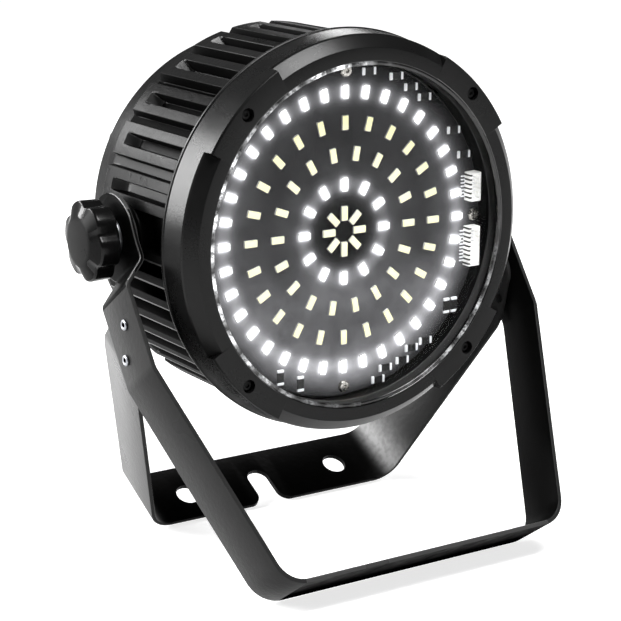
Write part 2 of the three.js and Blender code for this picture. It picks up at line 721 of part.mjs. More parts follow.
function rearHousing() {
  const turnHalfPitch = radians(slotPitch / 2);
  const shell = turned(
    [
      [frontRingBore, housingFrontZ],
      [spigotRadius, housingFrontZ],
      [spigotRadius, bezelRearZ - gap],
      [housingRibRadius, bezelRearZ - gap],
      [housingRibRadius, housingRibEndZ],
      [housingSlopeEndRadius, housingSlopeEndZ],
      [housingRearRadius, housingRearZ + housingRearEdge],
      [housingRearRadius - housingRearEdge, housingRearZ],
      [0, housingRearZ],
      [0, rearWallInnerZ],
      [rearBore, rearWallInnerZ],
      [rearBore, housingSlopeEndZ],
      [housingBore, housingRibEndZ],
      [housingBore, ledgeZ - housingLedgeDepth - housingLedgeWidth],
      [ledgeBore, ledgeZ - housingLedgeDepth],
      [ledgeBore, ledgeZ],
      [frontRingBore, ledgeZ],
    ],
    slotCount,
    turnHalfPitch,
  );
  const longSlot = slotCutter(true);
  const shortSlot = slotCutter(false);
  const slots = Array.from({ length: slotCount }, (_, index) => {
    const cutter = index % 2 === 0 ? longSlot : shortSlot;
    return cutter.rotate([0, 0, index * slotPitch]);
  });
  const bossGaps = bossGapSlots.map((index) => shortSlot.rotate([0, 0, index * slotPitch]));
  const bossRoot = housingBore - housingWall;
  const insertSeat = bossFaceX - insertLength;
  const bosses = [1, -1].flatMap((side) => {
    const boss = alongX(bar(bossRadius, Math.min(bossRoot, insertSeat - housingWall), bossFaceX));
    return [at(side > 0 ? boss : boss.rotate([0, 0, 180]), 0, 0, -pivotBehindBoard)];
  });
  const insertPockets = [1, -1].map((side) => {
    const pocket = alongX(bar(insertRadius + gap, insertSeat - gap, bossFaceX + overrun, insertFlats));
    return at(side > 0 ? pocket : pocket.rotate([0, 0, 180]), 0, 0, -pivotBehindBoard);
  });
  const windowWidth = panelWidth - 2 * panelWindowMargin;
  const windowHeight = panelHeight - 2 * panelWindowMargin;
  const rearWindow = prism(
    roundedRectangle(0, 0, windowWidth, windowHeight, panelCornerRadius),
    housingRearZ - overrun,
    rearWallInnerZ + overrun,
  );
  const screwHole = (lowZ, highZ) => bar(screwShankRadius + gap, lowZ, highZ, screwFacets);
  const bezelHole = screwHole(bezelFrontZ - screwBoreDepth - bezelScrewLength - overrun, bezelFrontZ);
  const bezelScrewHoles = bezelPadAngles.map((angle) => at(bezelHole, ...onClock(screwPitchRadius, angle)));
  const boardHole = screwHole(-screwShankLength - overrun, overrun);
  const boardScrewHoles = boardScrewAngles.map((angle) => at(boardHole, ...onClock(boardScrewPitchRadius, angle)));
  const panelHole = screwHole(housingRearZ - overrun, rearWallInnerZ + overrun);
  const panelScrewHoles = panelScrewPlaces().map(([x, y]) => at(panelHole, x, y));
  const ribbed = cut(shell, ...slots, ...bossGaps);
  return cut(
    join(ribbed, ...bosses),
    ...insertPockets,
    rearWindow,
    ...bezelScrewHoles,
    ...boardScrewHoles,
    ...panelScrewHoles,
  );
}

/** Hexagonal threaded insert, drawn along +x at the pivot height. */
function pivotInsert() {
  const outerEnd = bossFaceX - gap;
  const body = bar(insertRadius, bossFaceX - insertLength, outerEnd, insertFlats);
  const thread = bar(studRadius + gap, bossFaceX - insertLength - overrun, outerEnd + overrun);
  return alongX(cut(body, thread));
}

const frictionWasher = () =>
  alongX(ring(studRadius + gap, frictionWasherRadius, bossFaceX + gap, earInnerX - gap, roundFacets));

// Boards inside the head

function driverPillar() {
  return bar(pillarRadius, pillarEndZ, carrierBackZ - gap, insertFlats);
}

function driverBoard() {
  const plate = block(0, 0, driverBoardWidth, driverBoardHeight, driverBoardBackZ, driverBoardFrontZ);
  const rootZ = driverBoardBackZ + bite;
  const transformer = block(
    -(driverBoardWidth - transformerWidth) / 4,
    0,
    transformerWidth,
    transformerHeight,
    driverBoardBackZ - transformerDepth,
    rootZ,
  );
  const capacitors = [-1, 0, 1].map((step) =>
    at(
      bar(capacitorRadius, driverBoardBackZ - capacitorLength, rootZ, smallFacets),
      driverBoardWidth / 4,
      step * capacitorPitch,
    ),
  );
  const heatSink = block(
    0,
    -(driverBoardHeight - heatSinkHeight) / 2,
    heatSinkWidth,
    heatSinkHeight,
    driverBoardBackZ - heatSinkDepth,
    rootZ,
  );
  return join(plate, transformer, ...capacitors, heatSink);
}

function displayBoard() {
  const centreY = (displayY + buttonY) / 2;
  const boardZ = displayBoardZ + displayBoardThickness;
  const plate = block(displayX, centreY, displayWidth, displayBoardHeight, displayBoardZ, boardZ);
  const digits = block(
    displayX,
    displayY,
    digitBlockWidth,
    digitBlockHeight,
    panelOuterZ + displayThickness + gap,
    displayBoardZ + bite,
  );
  const switches = buttonPlaces().map(([x, y]) =>
    block(x, y, switchBodySize, switchBodySize, displayBoardZ - switchBodyHeight, displayBoardZ + bite),
  );
  const legX = displayWidth / 2 - displayBoardLegInset;
  const legY = displayBoardHeight / 2 - displayBoardLegInset;
  const leg = bar(displayBoardLegRadius, panelFrontZ + gap, displayBoardZ + bite, screwFacets);
  const legs = [[-legX, -legY], [legX, -legY], [-legX, legY], [legX, legY]].map(([x, y]) =>
    at(leg, displayX + x, centreY + y),
  );
  return join(plate, digits, ...switches, ...legs);
}

// Rear panel

function buttonPlaces() {
  const place = (_, index) => [buttonFirstX + index * buttonPitch, buttonY];
  return Array.from({ length: buttonCount }, place);
}

function panelScrewPlaces() {
  const x = panelWidth / 2 - panelScrewInset;
  const y = panelHeight / 2 - panelScrewInset;
  return [[-x, y], [x, y], [x, -y], [-x, -y]];
}

function rearPanel() {
  const outline = roundedRectangle(0, 0, panelWidth, panelHeight, panelCornerRadius);
  const plate = prism(outline, panelOuterZ, panelFrontZ);
  const through = [panelOuterZ - overrun, panelFrontZ + overrun];
  const roundHole = (radius, x, y, facets) => at(bar(radius + gap, ...through, facets), x, y);
  const screwHoles = panelScrewPlaces().map(([x, y]) => roundHole(screwShankRadius, x, y, screwFacets));
  const inletHole = block(inletX, inletY, inletBodyWidth + 2 * gap, inletBodyHeight + 2 * gap, ...through);
  const fuseHole = roundHole(fuseBodyRadius, fuseX, fuseY, roundFacets);
  const signalHoles = [inputY, outputY].map((y) => roundHole(signalBodyRadius, signalX, y, roundFacets));
  const latchSlot = block(
    signalX,
    outputY + latchCentreY,
    latchWidth + 2 * gap,
    latchHeight + 2 * gap,
    ...through,
  );
  const displayOutline = (grow, corner) =>
    roundedRectangle(displayX, displayY, displayWidth + 2 * grow, displayHeight + 2 * grow, corner);
  const displayHole = prism(displayOutline(-displayRim, displayCorner), ...through);
  const displaySeat = prism(
    displayOutline(gap, displayCorner + gap),
    panelOuterZ - overrun,
    panelOuterZ + panelThickness / 2,
  );
  const buttonHoles = buttonPlaces().map(([x, y]) => roundHole(buttonRadius, x, y, buttonFacets));
  const fittingHoles = [inletHole, fuseHole, ...signalHoles, latchSlot, displayHole, displaySeat];
  return cut(plate, ...screwHoles, ...fittingHoles, ...buttonHoles);
}

const displayWindow = () =>
  prism(
    roundedRectangle(displayX, displayY, displayWidth, displayHeight, displayCorner),
    panelOuterZ - displayThickness + panelThickness / 2 - gap,
    panelOuterZ + panelThickness / 2 - gap,
  );

function mainsInlet() {
  const outerZ = fittingSeatZ - inletFlangeThickness;
  const flange = prism(
    roundedRectangle(inletX, inletY, inletFlangeWidth, inletFlangeHeight, inletSocketCorner),
    outerZ,
    fittingSeatZ,
  );
  const bodyEndZ = outerZ + inletBodyDepth;
  const body = block(inletX, inletY, inletBodyWidth, inletBodyHeight, fittingSeatZ - bite, bodyEndZ);
  const floorZ = outerZ + inletSocketDepth;
  const socket = prism(
    roundedRectangle(inletX, inletY, inletSocketWidth, inletSocketHeight, inletSocketCorner),
    outerZ - overrun,
    floorZ,
  );
  const pins = [
    [-inletPinSpread, inletPinDrop],
    [inletPinSpread, inletPinDrop],
    [0, -inletPinDrop],
  ].map(([x, y]) => {
    const tipZ = floorZ - inletPinLength;
    return block(inletX + x, inletY + y, inletPinWidth, inletPinHeight, tipZ, floorZ + bite);
  });
  return join(cut(join(flange, body), socket), ...pins);
}

function fuseHolder() {
  const outerZ = fittingSeatZ - fuseFlangeThickness;
  const body = turned([
    [0, outerZ],
    [fuseFlangeRadius, outerZ],
    [fuseFlangeRadius, fittingSeatZ],
    [fuseBodyRadius, fittingSeatZ],
    [fuseBodyRadius, outerZ + fuseBodyLength],
    [0, outerZ + fuseBodyLength],
  ]);
  return at(body, fuseX, fuseY);
}

function fuseCap() {
  const seatZ = fittingSeatZ - fuseFlangeThickness - gap;
  const cap = turned([
    [0, seatZ - fuseCapHeight],
    [fuseCapRadius * fuseCapTopShares[0], seatZ - fuseCapHeight],
    [fuseCapRadius, seatZ - fuseCapHeight * fuseCapTopShares[1]],
    [fuseCapRadius, seatZ],
    [0, seatZ],
  ]);
  const topZ = seatZ - fuseCapHeight;
  const slotLength = 2 * fuseCapRadius + overrun;
  const slot = block(0, 0, slotLength, fuseCapSlotWidth, topZ - overrun, topZ + fuseCapSlotDepth);
  return at(cut(cap, slot), fuseX, fuseY);
}

function signalShell(centreY) {
  const outerZ = fittingSeatZ - signalFlangeThickness;
  const flange = prism(
    roundedRectangle(signalX, centreY, signalFlangeWidth, signalFlangeHeight, signalFlangeCorner),
    outerZ,
    fittingSeatZ,
  );
  const body = at(bar(signalBodyRadius, fittingSeatZ - bite, outerZ + signalBodyDepth), signalX, centreY);
  const socket = at(
    bar(signalSocketRadius, outerZ - overrun, outerZ + signalSocketDepth, roundFacets),
    signalX,
    centreY,
  );
  return cut(join(flange, body), socket);
}

/** Three pins or contacts stand on a circle, open side up. */
const signalPinPlaces = (centreY) =>
  [90, 180, 270].map((angle) => {
    const [x, y] = onClock(signalPinCircle, angle);
    return [signalX + x, centreY + y];
  });

function dmxInput() {
  const floorZ = fittingSeatZ - signalFlangeThickness + signalSocketDepth;
  const pins = signalPinPlaces(inputY).map(([x, y]) =>
    at(bar(signalPinRadius, floorZ - signalPinLength, floorZ + bite, smallFacets), x, y),
  );
  return join(signalShell(inputY), ...pins);
}

function dmxOutput() {
  const outerZ = fittingSeatZ - signalFlangeThickness;
  const coreFaceZ = outerZ + signalCoreSetback;
  const core = at(
    bar(signalCoreRadius, coreFaceZ, outerZ + signalSocketDepth + bite, roundFacets),
    signalX,
    outputY,
  );
  const contacts = signalPinPlaces(outputY).map(([x, y]) =>
    at(bar(signalContactRadius, coreFaceZ - overrun, coreFaceZ + signalContactDepth, smallFacets), x, y),
  );
  const latchSlot = block(
    signalX,
    outputY + latchCentreY,
    latchWidth + 2 * gap,
    latchHeight + 2 * gap,
    outerZ - overrun,
    outerZ + latchDepth + latchTravel + gap,
  );
  return cut(join(signalShell(outputY), core), ...contacts, latchSlot);
}

function dmxLatch() {
  const faceZ = fittingSeatZ - signalFlangeThickness - latchProud;
  return block(signalX, outputY + latchCentreY, latchWidth, latchHeight, faceZ, faceZ + latchDepth);
}

/** Menu button: a cap through the panel, with a collar behind it and a stem to its switch. */
function menuButton() {
  const collarZ = panelFrontZ + gap;
  const switchZ = displayBoardZ - switchBodyHeight;
  return turned(
    [
      [0, panelOuterZ - buttonProud],
      [buttonRadius * buttonTopShares[0], panelOuterZ - buttonProud],
      [buttonRadius, panelOuterZ - buttonProud * buttonTopShares[1]],
      [buttonRadius, collarZ],
      [buttonCollarRadius, collarZ],
      [buttonCollarRadius, collarZ + buttonCollarThickness],
      [buttonStemRadius, collarZ + buttonCollarThickness],
      [buttonStemRadius, switchZ - buttonTravel - gap],
      [0, switchZ - buttonTravel - gap],
    ],
    buttonFacets,
  );
}

/** Bent wire loop on a round base, standing out of the rear wall. */
function safetyEyelet() {
  const baseZ = housingRearZ - gap;
  const base = bar(eyeletBaseRadius, baseZ - eyeletBaseHeight, baseZ, roundFacets);
  const loopRadius = eyeletInnerRadius + eyeletWire;
  const wire = new THREE.TorusGeometry(loopRadius, eyeletWire, smallFacets, eyeletFacets);
  wire.rotateY(Math.PI / 2);
  const loop = at(solidOf(wire), 0, 0, baseZ - eyeletBaseHeight - eyeletInnerRadius);
  const clearHeight = 2 * (loopRadius + eyeletWire);
  const clear = block(0, 0, 2 * eyeletBaseRadius, clearHeight, baseZ, baseZ + 2 * eyeletWire);
  return at(cut(join(base, loop), clear), 0, eyeletY);
}

function rearFoot() {
  const seatZ = housingRearZ - gap;
  const section = [
    [0, seatZ - footHeight],
    [footRadius - footEdge, seatZ - footHeight],
    [footRadius, seatZ - footHeight + footEdge],
    [footRadius, seatZ],
    [0, seatZ],
  ];
  return turned(section, buttonFacets);
}

// Bracket pair. Each bracket is drawn upright, with its legs down -y and its width along z,
// as the part common to a bent strip seen from the front and an outline seen from the side.

/** U-shaped strip seen from the front: half a path from ear to crossbar, mirrored. */
function bentStrip(halfPath, halfRadii, depth) {
  const mirrored = halfPath.slice().reverse().map(([x, y]) => [-x, y]);
  const outer = [...halfPath, ...mirrored];
  const outerRadii = [...halfRadii, ...halfRadii.slice().reverse()];
  const inner = offsetPath(outer, -strapThickness);
  const turnAt = (index) => {
    if (index === 0 || index === outer.length - 1) return 0;
    const [before, here, after] = [-1, 0, 1].map((step) => new THREE.Vector2(...outer[index + step]));
    return Math.sign(here.clone().sub(before).cross(after.sub(here)));
  };
  const innerRadii = outerRadii.map((radius, index) =>
    radius ? radius + turnAt(index) * strapThickness : 0,
  );
  const outline = [...filletPath(outer, outerRadii), ...filletPath(inner, innerRadii).reverse()];
  const shape = new THREE.Shape(outline.map(([x, y]) => new THREE.Vector2(x, y)));
  return prism(shape, -depth, depth);
}

/** Outline in (z, y), drawn out along x past both legs. */
function sideOutline(shape, reach) {
  const settings = { depth: 2 * reach, bevelEnabled: false, curveSegments: 2 * bendSteps };
  const geometry = new THREE.ExtrudeGeometry(shape, settings);
  geometry.translate(0, 0, -reach);
  geometry.rotateY(-Math.PI / 2);
  return solidOf(geometry);
}

/** Hole through both legs along x. */
const legHole = (radius, along, across, facets) =>
  at(alongX(bar(radius, -knobOuterX, knobOuterX, facets)), 0, -along, across);

function frontBracket() {
  const halfPath = [
    [earOuterX, earRadius + overrun],
    [earOuterX, -jogStart],
    [flangeOuterX, -jogEnd],
    [flangeOuterX, -frontKink],
    [frontCornerX, -frontLength],
  ];
  const halfRadii = [0, jogBendRadius, jogBendRadius, kinkBendRadius, frontBendRadius];
  const strip = bentStrip(halfPath, halfRadii, earRadius + frontOffset);
  const rearSide = frontOffset - frontWidth / 2;
  const frontSide = frontOffset + frontWidth / 2;
  const side = new THREE.Shape();
  side.moveTo(rearSide, -frontLength - overrun);
  side.lineTo(frontSide, -frontLength - overrun);
  side.absarc(0, 0, earRadius, -Math.acos(frontSide / earRadius), Math.PI + Math.acos(-rearSide / earRadius));
  side.closePath();
  const blank = strip.intersect(sideOutline(side, knobOuterX));
  const holes = [
    legHole(studHoleRadius, 0, 0, roundFacets),
    ...rivetPlaces.map(({ along, across }) => legHole(rivetShankRadius + gap, along, across, smallFacets)),
  ];
  return cut(blank, ...holes);
}

function rearBracket() {
  const halfPath = [
    [rearFlangeOuterX, -rearTabTop + overrun],
    [rearFlangeOuterX, -rearKink],
    [rearCornerX, -rearLength],
  ];
  const strip = at(bentStrip(halfPath, [0, kinkBendRadius, rearBendRadius], rearWidth), 0, 0, rearOffset);
  const rearSide = rearOffset - rearWidth / 2;
  const frontSide = rearOffset + rearWidth / 2;
  const tabCentre = rearTabTop + rearTabRadius;
  const side = new THREE.Shape();
  side.moveTo(rearSide, -rearLength - overrun);
  side.lineTo(frontSide, -rearLength - overrun);
  side.lineTo(frontSide, -rearShoulder);
  side.absarc(rearOffset, -tabCentre, rearTabRadius, 0, Math.PI);
  side.lineTo(rearSide, -rearShoulder);
  side.closePath();
  const blank = strip.intersect(sideOutline(side, knobOuterX));
  const rivetHoles = [upperRivet, lowerRivet].map(({ along, across }) =>
    legHole(rivetShankRadius + gap, along, across, smallFacets),
  );
  const barTop = -rearLength + strapThickness + overrun;
  const throughBar = (solid) => solid.rotate([90, 0, 0]).translate([0, barTop, 0]);
  const depth = strapThickness + 2 * overrun;
  const boltHoles = [-barHoleX, barHoleX].map((x) =>
    throughBar(at(bar(barHoleRadius, 0, depth, roundFacets), x, rearOffset + barHoleOffset)),
  );
  return cut(blank, ...rivetHoles, ...boltHoles, throughBar(prism(hookSlot(), 0, depth)));
}

/** Open hook slot: a round end, parallel sides, and a mouth flared by two round lips. */
function hookSlot() {
  const edge = rearOffset + rearWidth / 2;
  const lipY = edge - hookLipRadius;
  const right = hookSlotX + hookSlotHalfWidth;
  const left = hookSlotX - hookSlotHalfWidth;
  const slot = new THREE.Shape();
  slot.absarc(hookSlotX, rearOffset + hookSlotEnd, hookSlotHalfWidth, Math.PI, 2 * Math.PI);
  slot.lineTo(right, lipY);
  slot.absarc(right + hookLipRadius, lipY, hookLipRadius, Math.PI, Math.PI / 2, true);
  slot.lineTo(right + hookLipRadius, edge + overrun);
  slot.lineTo(left - hookLipRadius, edge + overrun);
  slot.absarc(left - hookLipRadius, lipY, hookLipRadius, Math.PI / 2, 0, true);
  slot.closePath();
  return slot;
}

/** Tubular rivet through both legs of one side, along +x, with a domed head and a rolled tail. */
function bracketRivet() {
  const headSeat = flangeOuterX + gap;
  const tailSeat = rearFlangeInnerX - gap;
  const body = turned(
    [
      [0, tailSeat - rivetHeadHeight],
      [rivetHeadRadius, tailSeat - rivetHeadHeight],
      [rivetHeadRadius, tailSeat],
      [rivetShankRadius, tailSeat],
      [rivetShankRadius, headSeat],
      [rivetHeadRadius, headSeat],
      [rivetHeadRadius * rivetCrownShare, headSeat + rivetHeadHeight],
      [0, headSeat + rivetHeadHeight],
    ],
    smallFacets,
  );
  const boreTop = headSeat + rivetHeadHeight + overrun;
  const bore = bar(rivetBoreRadius, headSeat - strapThickness, boreTop, screwFacets);
  return alongX(cut(body, bore));
}

// Knobs, drawn along +x at the pivot

function clampKnob() {
  const lobed = new THREE.Shape();
  const mean = (knobLobeRadius + knobValleyRadius) / 2 - knobEdge;
  const swing = (knobLobeRadius - knobValleyRadius) / 2;
  const points = knobLobes * knobLobeFacets;
  for (let index = 0; index < points; index += 1) {
    const angle = (index / points) * 2 * Math.PI;
    const radius = mean + swing * Math.cos(knobLobes * angle);
    const point = [radius * Math.cos(angle), radius * Math.sin(angle)];
    if (index === 0) lobed.moveTo(...point);
    else lobed.lineTo(...point);
  }
  lobed.closePath();
  const bodyBaseX = knobOuterX - knobLength + knobCollarLength;
  const grip = new THREE.ExtrudeGeometry(lobed, {
    depth: knobOuterX - bodyBaseX - 2 * knobEdge,
    bevelEnabled: true,
    bevelThickness: knobEdge,
    bevelSize: knobEdge,
    bevelSegments: 1,
  });
  grip.rotateZ(-radians(knobFirstLobeAngle));
  grip.translate(0, 0, bodyBaseX + knobEdge);
  const collar = bar(knobCollarRadius, knobBaseX, bodyBaseX + knobEdge, roundFacets);
  const dish = turned([
    [0, knobOuterX - knobDishDepth],
    [knobDishRadius - knobDishDepth, knobOuterX - knobDishDepth],
    [knobDishRadius + knobDishDepth, knobOuterX + knobDishDepth],
    [0, knobOuterX + knobDishDepth],
  ]);
  const studBore = bar(studRadius + gap, knobBaseX - overrun, knobBaseX + studHeadDepth + gap, roundFacets);
  return alongX(cut(join(solidOf(grip), collar), dish, studBore));
}

const knobStud = () =>
  alongX(bar(studRadius, bossFaceX - insertLength + studTipClearance, knobBaseX + studHeadDepth, roundFacets));

const knobWasher = () =>
  alongX(ring(studRadius + gap, knobWasherRadius, earOuterX + gap, knobWasherOuterX, roundFacets));

// Assembly

function mesh(name, solid, finish) {
  const part = new THREE.Mesh(geometryOf(solid), finish);
  part.name = name;
  return part;
}

const group = new THREE.Group();

const head = new THREE.Group();
head.position.set(0, pivotY - pivotBehindBoard, pivotHeight);
head.rotation.x = Math.PI / 2;
head.add(mesh('front_bezel', frontBezel(), blackPlastic));
head.add(mesh('front_window', frontWindow(), clearPlastic));
head.add(mesh('window_gasket', windowGasket(), blackRubber));
head.add(mesh('led_board', ledBoard(), boardWhite));
const upperConnector = boardConnector(upperConnectorLength, upperConnectorY);
const lowerConnector = boardConnector(lowerConnectorLength, lowerConnectorY);
head.add(mesh('board_connector_upper', upperConnector, connectorWhite));
head.add(mesh('board_connector_lower', lowerConnector, connectorWhite));
head.add(mesh('board_carrier', boardCarrier(), blackSteel));
head.add(mesh('rear_housing', rearHousing(), blackPlastic));
head.add(mesh('driver_board', driverBoard(), boardGreen));
head.add(mesh('rear_panel', rearPanel(), blackSteel));
head.add(mesh('display_window', displayWindow(), glossBlack));
head.add(mesh('display_board', displayBoard(), boardGreen));
head.add(mesh('mains_inlet', mainsInlet(), blackPlastic));
head.add(mesh('fuse_holder', fuseHolder(), blackPlastic));
head.add(mesh('fuse_cap', fuseCap(), blackPlastic));
head.add(mesh('dmx_input', dmxInput(), nickel));
head.add(mesh('dmx_output', dmxOutput(), nickel));
head.add(mesh('dmx_latch', dmxLatch(), nickel));
head.add(mesh('safety_eyelet', safetyEyelet(), zincSteel));

const bezelScrewSeat = bezelFrontZ - screwBoreDepth + gap;
const bezelScrew = screw(bezelScrewSeat, bezelScrewLength, screwHeadRadius, screwHeadHeight);
bezelPadAngles.forEach((angle, index) => {
  const part = mesh(`bezel_screw_${index + 1}`, bezelScrew, zincSteel);
  part.position.set(...onClock(screwPitchRadius, angle), 0);
  head.add(part);
});

const boardScrew = screw(gap, screwShankLength, panelScrewHeadRadius, screwHeadHeight);
boardScrewAngles.forEach((angle, index) => {
  const part = mesh(`board_screw_${index + 1}`, boardScrew, nickel);
  part.position.set(...onClock(boardScrewPitchRadius, angle), 0);
  head.add(part);
});

const panelScrew = screw(gap - panelOuterZ, screwShankLength, panelScrewHeadRadius, screwHeadHeight);
panelScrewPlaces().forEach(([x, y], index) => {
  const part = mesh(`panel_screw_${index + 1}`, panelScrew, zincSteel);
  part.position.set(x, y, 0);
  part.rotation.y = Math.PI;
  head.add(part);
});

const pillar = driverPillar();
[[-1, -1], [1, -1], [-1, 1], [1, 1]].forEach(([sideX, sideY], index) => {
  const part = mesh(`driver_pillar_${index + 1}`, pillar, brass);
  const x = driverBoardWidth / 2 - pillarInsetX;
  const y = driverBoardHeight / 2 - pillarInsetY;
  part.position.set(sideX * x, sideY * y, 0);
  head.add(part);
});

const button = menuButton();
buttonPlaces().forEach(([x, y], index) => {
  const part = mesh(`menu_button_${index + 1}`, button, blackPlastic);
  part.position.set(x, y, 0);
  head.add(part);
});

const foot = rearFoot();
const footAngles = [footAngle, 180 - footAngle, 180 + footAngle, 360 - footAngle];
footAngles.forEach((angle, index) => {
  const part = mesh(`rear_foot_${index + 1}`, foot, blackRubber);
  part.position.set(...onClock(footPitchRadius, angle), 0);
  head.add(part);
});

const stand = new THREE.Group();
stand.position.set(0, pivotY, pivotHeight);
stand.rotation.x = Math.PI / 2;
const frontPart = mesh('front_bracket', frontBracket(), blackSteel);
frontPart.rotation.x = -radians(frontLean);
stand.add(frontPart);
const rearPart = mesh('rear_bracket', rearBracket(), blackSteel);
rearPart.rotation.x = radians(rearLean);
stand.add(rearPart);

// What sits at the pivot or on a leg comes once for each side, turned about the upright axis.
const insert = pivotInsert();
const softWasher = frictionWasher();
const rivet = bracketRivet();
const knob = clampKnob();
const stud = knobStud();
const hardWasher = knobWasher();
[
  ['right', 1],
  ['left', -1],
].forEach(([sideName, side]) => {
  const turn = side > 0 ? 0 : Math.PI;
  const place = (name, solid, finish, y = 0, z = 0) => {
    const part = mesh(name, solid, finish);
    part.rotation.y = turn;
    part.position.set(0, y, z);
    stand.add(part);
  };
  place(`pivot_insert_${sideName}`, insert, brass);
  place(`friction_washer_${sideName}`, softWasher, blackRubber);
  place(`knob_${sideName}`, knob, blackPlastic);
  place(`knob_stud_${sideName}`, stud, zincSteel);
  place(`knob_washer_${sideName}`, hardWasher, zincSteel);
  rivetPlaces.forEach(({ along, across }, index) => {
    const y = -along * cosOf(frontLean) + across * sinOf(frontLean);
    const z = along * sinOf(frontLean) + across * cosOf(frontLean);
    place(`bracket_rivet_${sideName}_${index + 1}`, rivet, zincSteel, y, z);
  });
});

group.add(head, stand);

export default group;
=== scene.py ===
"""Looks for the strobe light: fine surfaces, finishes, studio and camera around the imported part.

Lengths are in millimetres in the shape functions and become metres where a mesh is made.
The head's own coordinates are x to the right, y up and z out of the window, with z = 0 on
the front face of the LED board. The brackets' are x to the right, l down the leg from the
pivot and s across the strap, towards the front and up.
"""

import math

import bmesh
import bpy
import numpy as np
from mathutils import Matrix, Vector


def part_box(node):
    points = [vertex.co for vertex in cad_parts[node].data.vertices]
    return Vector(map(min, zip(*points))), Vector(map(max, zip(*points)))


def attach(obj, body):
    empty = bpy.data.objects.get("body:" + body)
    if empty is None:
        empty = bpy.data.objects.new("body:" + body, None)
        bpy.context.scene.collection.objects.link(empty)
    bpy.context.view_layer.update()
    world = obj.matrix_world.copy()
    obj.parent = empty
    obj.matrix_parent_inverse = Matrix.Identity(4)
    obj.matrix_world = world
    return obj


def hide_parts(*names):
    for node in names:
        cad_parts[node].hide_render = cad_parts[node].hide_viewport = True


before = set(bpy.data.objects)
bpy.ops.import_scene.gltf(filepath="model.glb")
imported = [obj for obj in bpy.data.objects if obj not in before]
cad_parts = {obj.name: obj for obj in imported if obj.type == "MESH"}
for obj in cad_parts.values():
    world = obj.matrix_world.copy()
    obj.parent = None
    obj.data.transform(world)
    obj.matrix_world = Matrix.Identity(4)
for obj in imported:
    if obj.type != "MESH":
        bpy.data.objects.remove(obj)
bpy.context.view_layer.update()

MM = 0.001
TAU = 2 * math.pi

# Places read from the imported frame

BEZEL_FRONT = 15.0
bezel_low, bezel_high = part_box("front_bezel")
stud_low, stud_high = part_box("knob_stud_right")
AXIS_Z = (bezel_low[2] + bezel_high[2]) / 2 / MM
BOARD_Y = bezel_low[1] / MM + BEZEL_FRONT
PIVOT_Y = (stud_low[1] + stud_high[1]) / 2 / MM

# Sizes of the head

GAP = 0.3
BOARD_R = 72.5
BOARD_THICK = 1.6
RING_R = 60.0
RING_SHARES = (1, 0.7816, 0.5612, 0.3407, 0.1304)
RING_COUNTS = (36, 24, 18, 12, 8)
RING_STARTS = (0, 0, 0.5, 0, 0)
RING_LIT = (True, False, False, True, False)
LIP_R = 74.4
PANE_R = 76.8
BEZEL_SCREW_R = 80.3
BOARD_SCREW_R = 69
DRUM_R = 84.0
SLOT_FLOOR_R = 78.5
SLOTS = 52
PITCH = TAU / SLOTS
HOUSING_REAR = -83.8
PANEL_INNER = HOUSING_REAR - GAP
PANEL_OUTER = PANEL_INNER - 1.8
SEAT = PANEL_OUTER - GAP

# Sizes of the brackets

STRAP = 2.0
EAR_X = 89.8
FLANGE_X = 100.0
REAR_FLANGE_X = FLANGE_X - STRAP - GAP
FRONT_LEAN = math.radians(35.2)
REAR_LEAN = math.radians(27.9)


# Places


def head_place(x, y, z):
    """Head coordinates to the part's: x stays, y goes up and z comes forward."""
    x, y, z = np.broadcast_arrays(x, y, z)
    return np.stack([x, BOARD_Y - z, AXIS_Z + y], axis=-1)


def centred(x0, y0):
    """Head coordinates about a point off the axis."""
    return lambda x, y, z: head_place(x + x0, y + y0, z)


def backwards(x0, y0):
    """The same, drawn towards the back."""
    return lambda x, y, z: head_place(x0 - x, y0 + y, -z)


def side_place(side, y0=PIVOT_Y, z0=AXIS_Z):
    """Drawn about +z with z outwards: z becomes the part's x on that side, at (y0, z0)."""
    def place(x, y, z):
        x, y, z = np.broadcast_arrays(x, y, z)
        return np.stack([side * z, y0 + side * x, z0 + y], axis=-1)
    return place


def clock(radius, degrees):
    angle = math.radians(degrees)
    return radius * math.sin(angle), radius * math.cos(angle)


def ring(count):
    return np.arange(count) * TAU / count


def round_points(r, z, angle, place=head_place):
    """Points (r sin a, r cos a, z) round the axis, placed in the part."""
    return place(r * np.sin(angle), r * np.cos(angle), z + 0 * angle).reshape(-1, 3)


# Mesh making


def grid_faces(rows, columns, wrap_rows=False):
    """Quads between neighbours of a rows by columns grid whose columns wrap round."""
    i = np.arange(rows if wrap_rows else rows - 1)[:, None]
    j = np.arange(columns)[None, :]
    i_next, j_next = (i + 1) % rows, (j + 1) % columns
    quads = [i * columns + j, i * columns + j_next, i_next * columns + j_next, i_next * columns + j]
    return np.stack([q + 0 * (i + j) for q in quads], axis=-1).reshape(-1, 4)


def end_faces(rows, columns, firsts=0):
    """Flat faces on the first and last row of grids that start at the given points."""
    row = np.arange(columns)[None, :]
    firsts = np.reshape(firsts, (-1, 1))
    return (firsts + row[:, ::-1]).tolist() + (firsts + (rows - 1) * columns + row).tolist()


def closed_object(name, points, faces, slivers=False):
    """Closed mesh from points in mm: doubles merged, slivers dissolved, faces turned outwards."""
    mesh = bpy.data.meshes.new(name)
    mesh.from_pydata((np.asarray(points) * MM).tolist(), [],
                     faces.tolist() if isinstance(faces, np.ndarray) else faces)
    work = bmesh.new()
    work.from_mesh(mesh)
    bmesh.ops.remove_doubles(work, verts=work.verts, dist=2e-6)
    if not slivers:
        bmesh.ops.dissolve_degenerate(work, edges=work.edges, dist=1e-7)
    bmesh.ops.recalc_face_normals(work, faces=work.faces)
    work.to_mesh(mesh)
    work.free()
    piece = bpy.data.objects.new(name, mesh)
    bpy.context.scene.collection.objects.link(piece)
    return piece


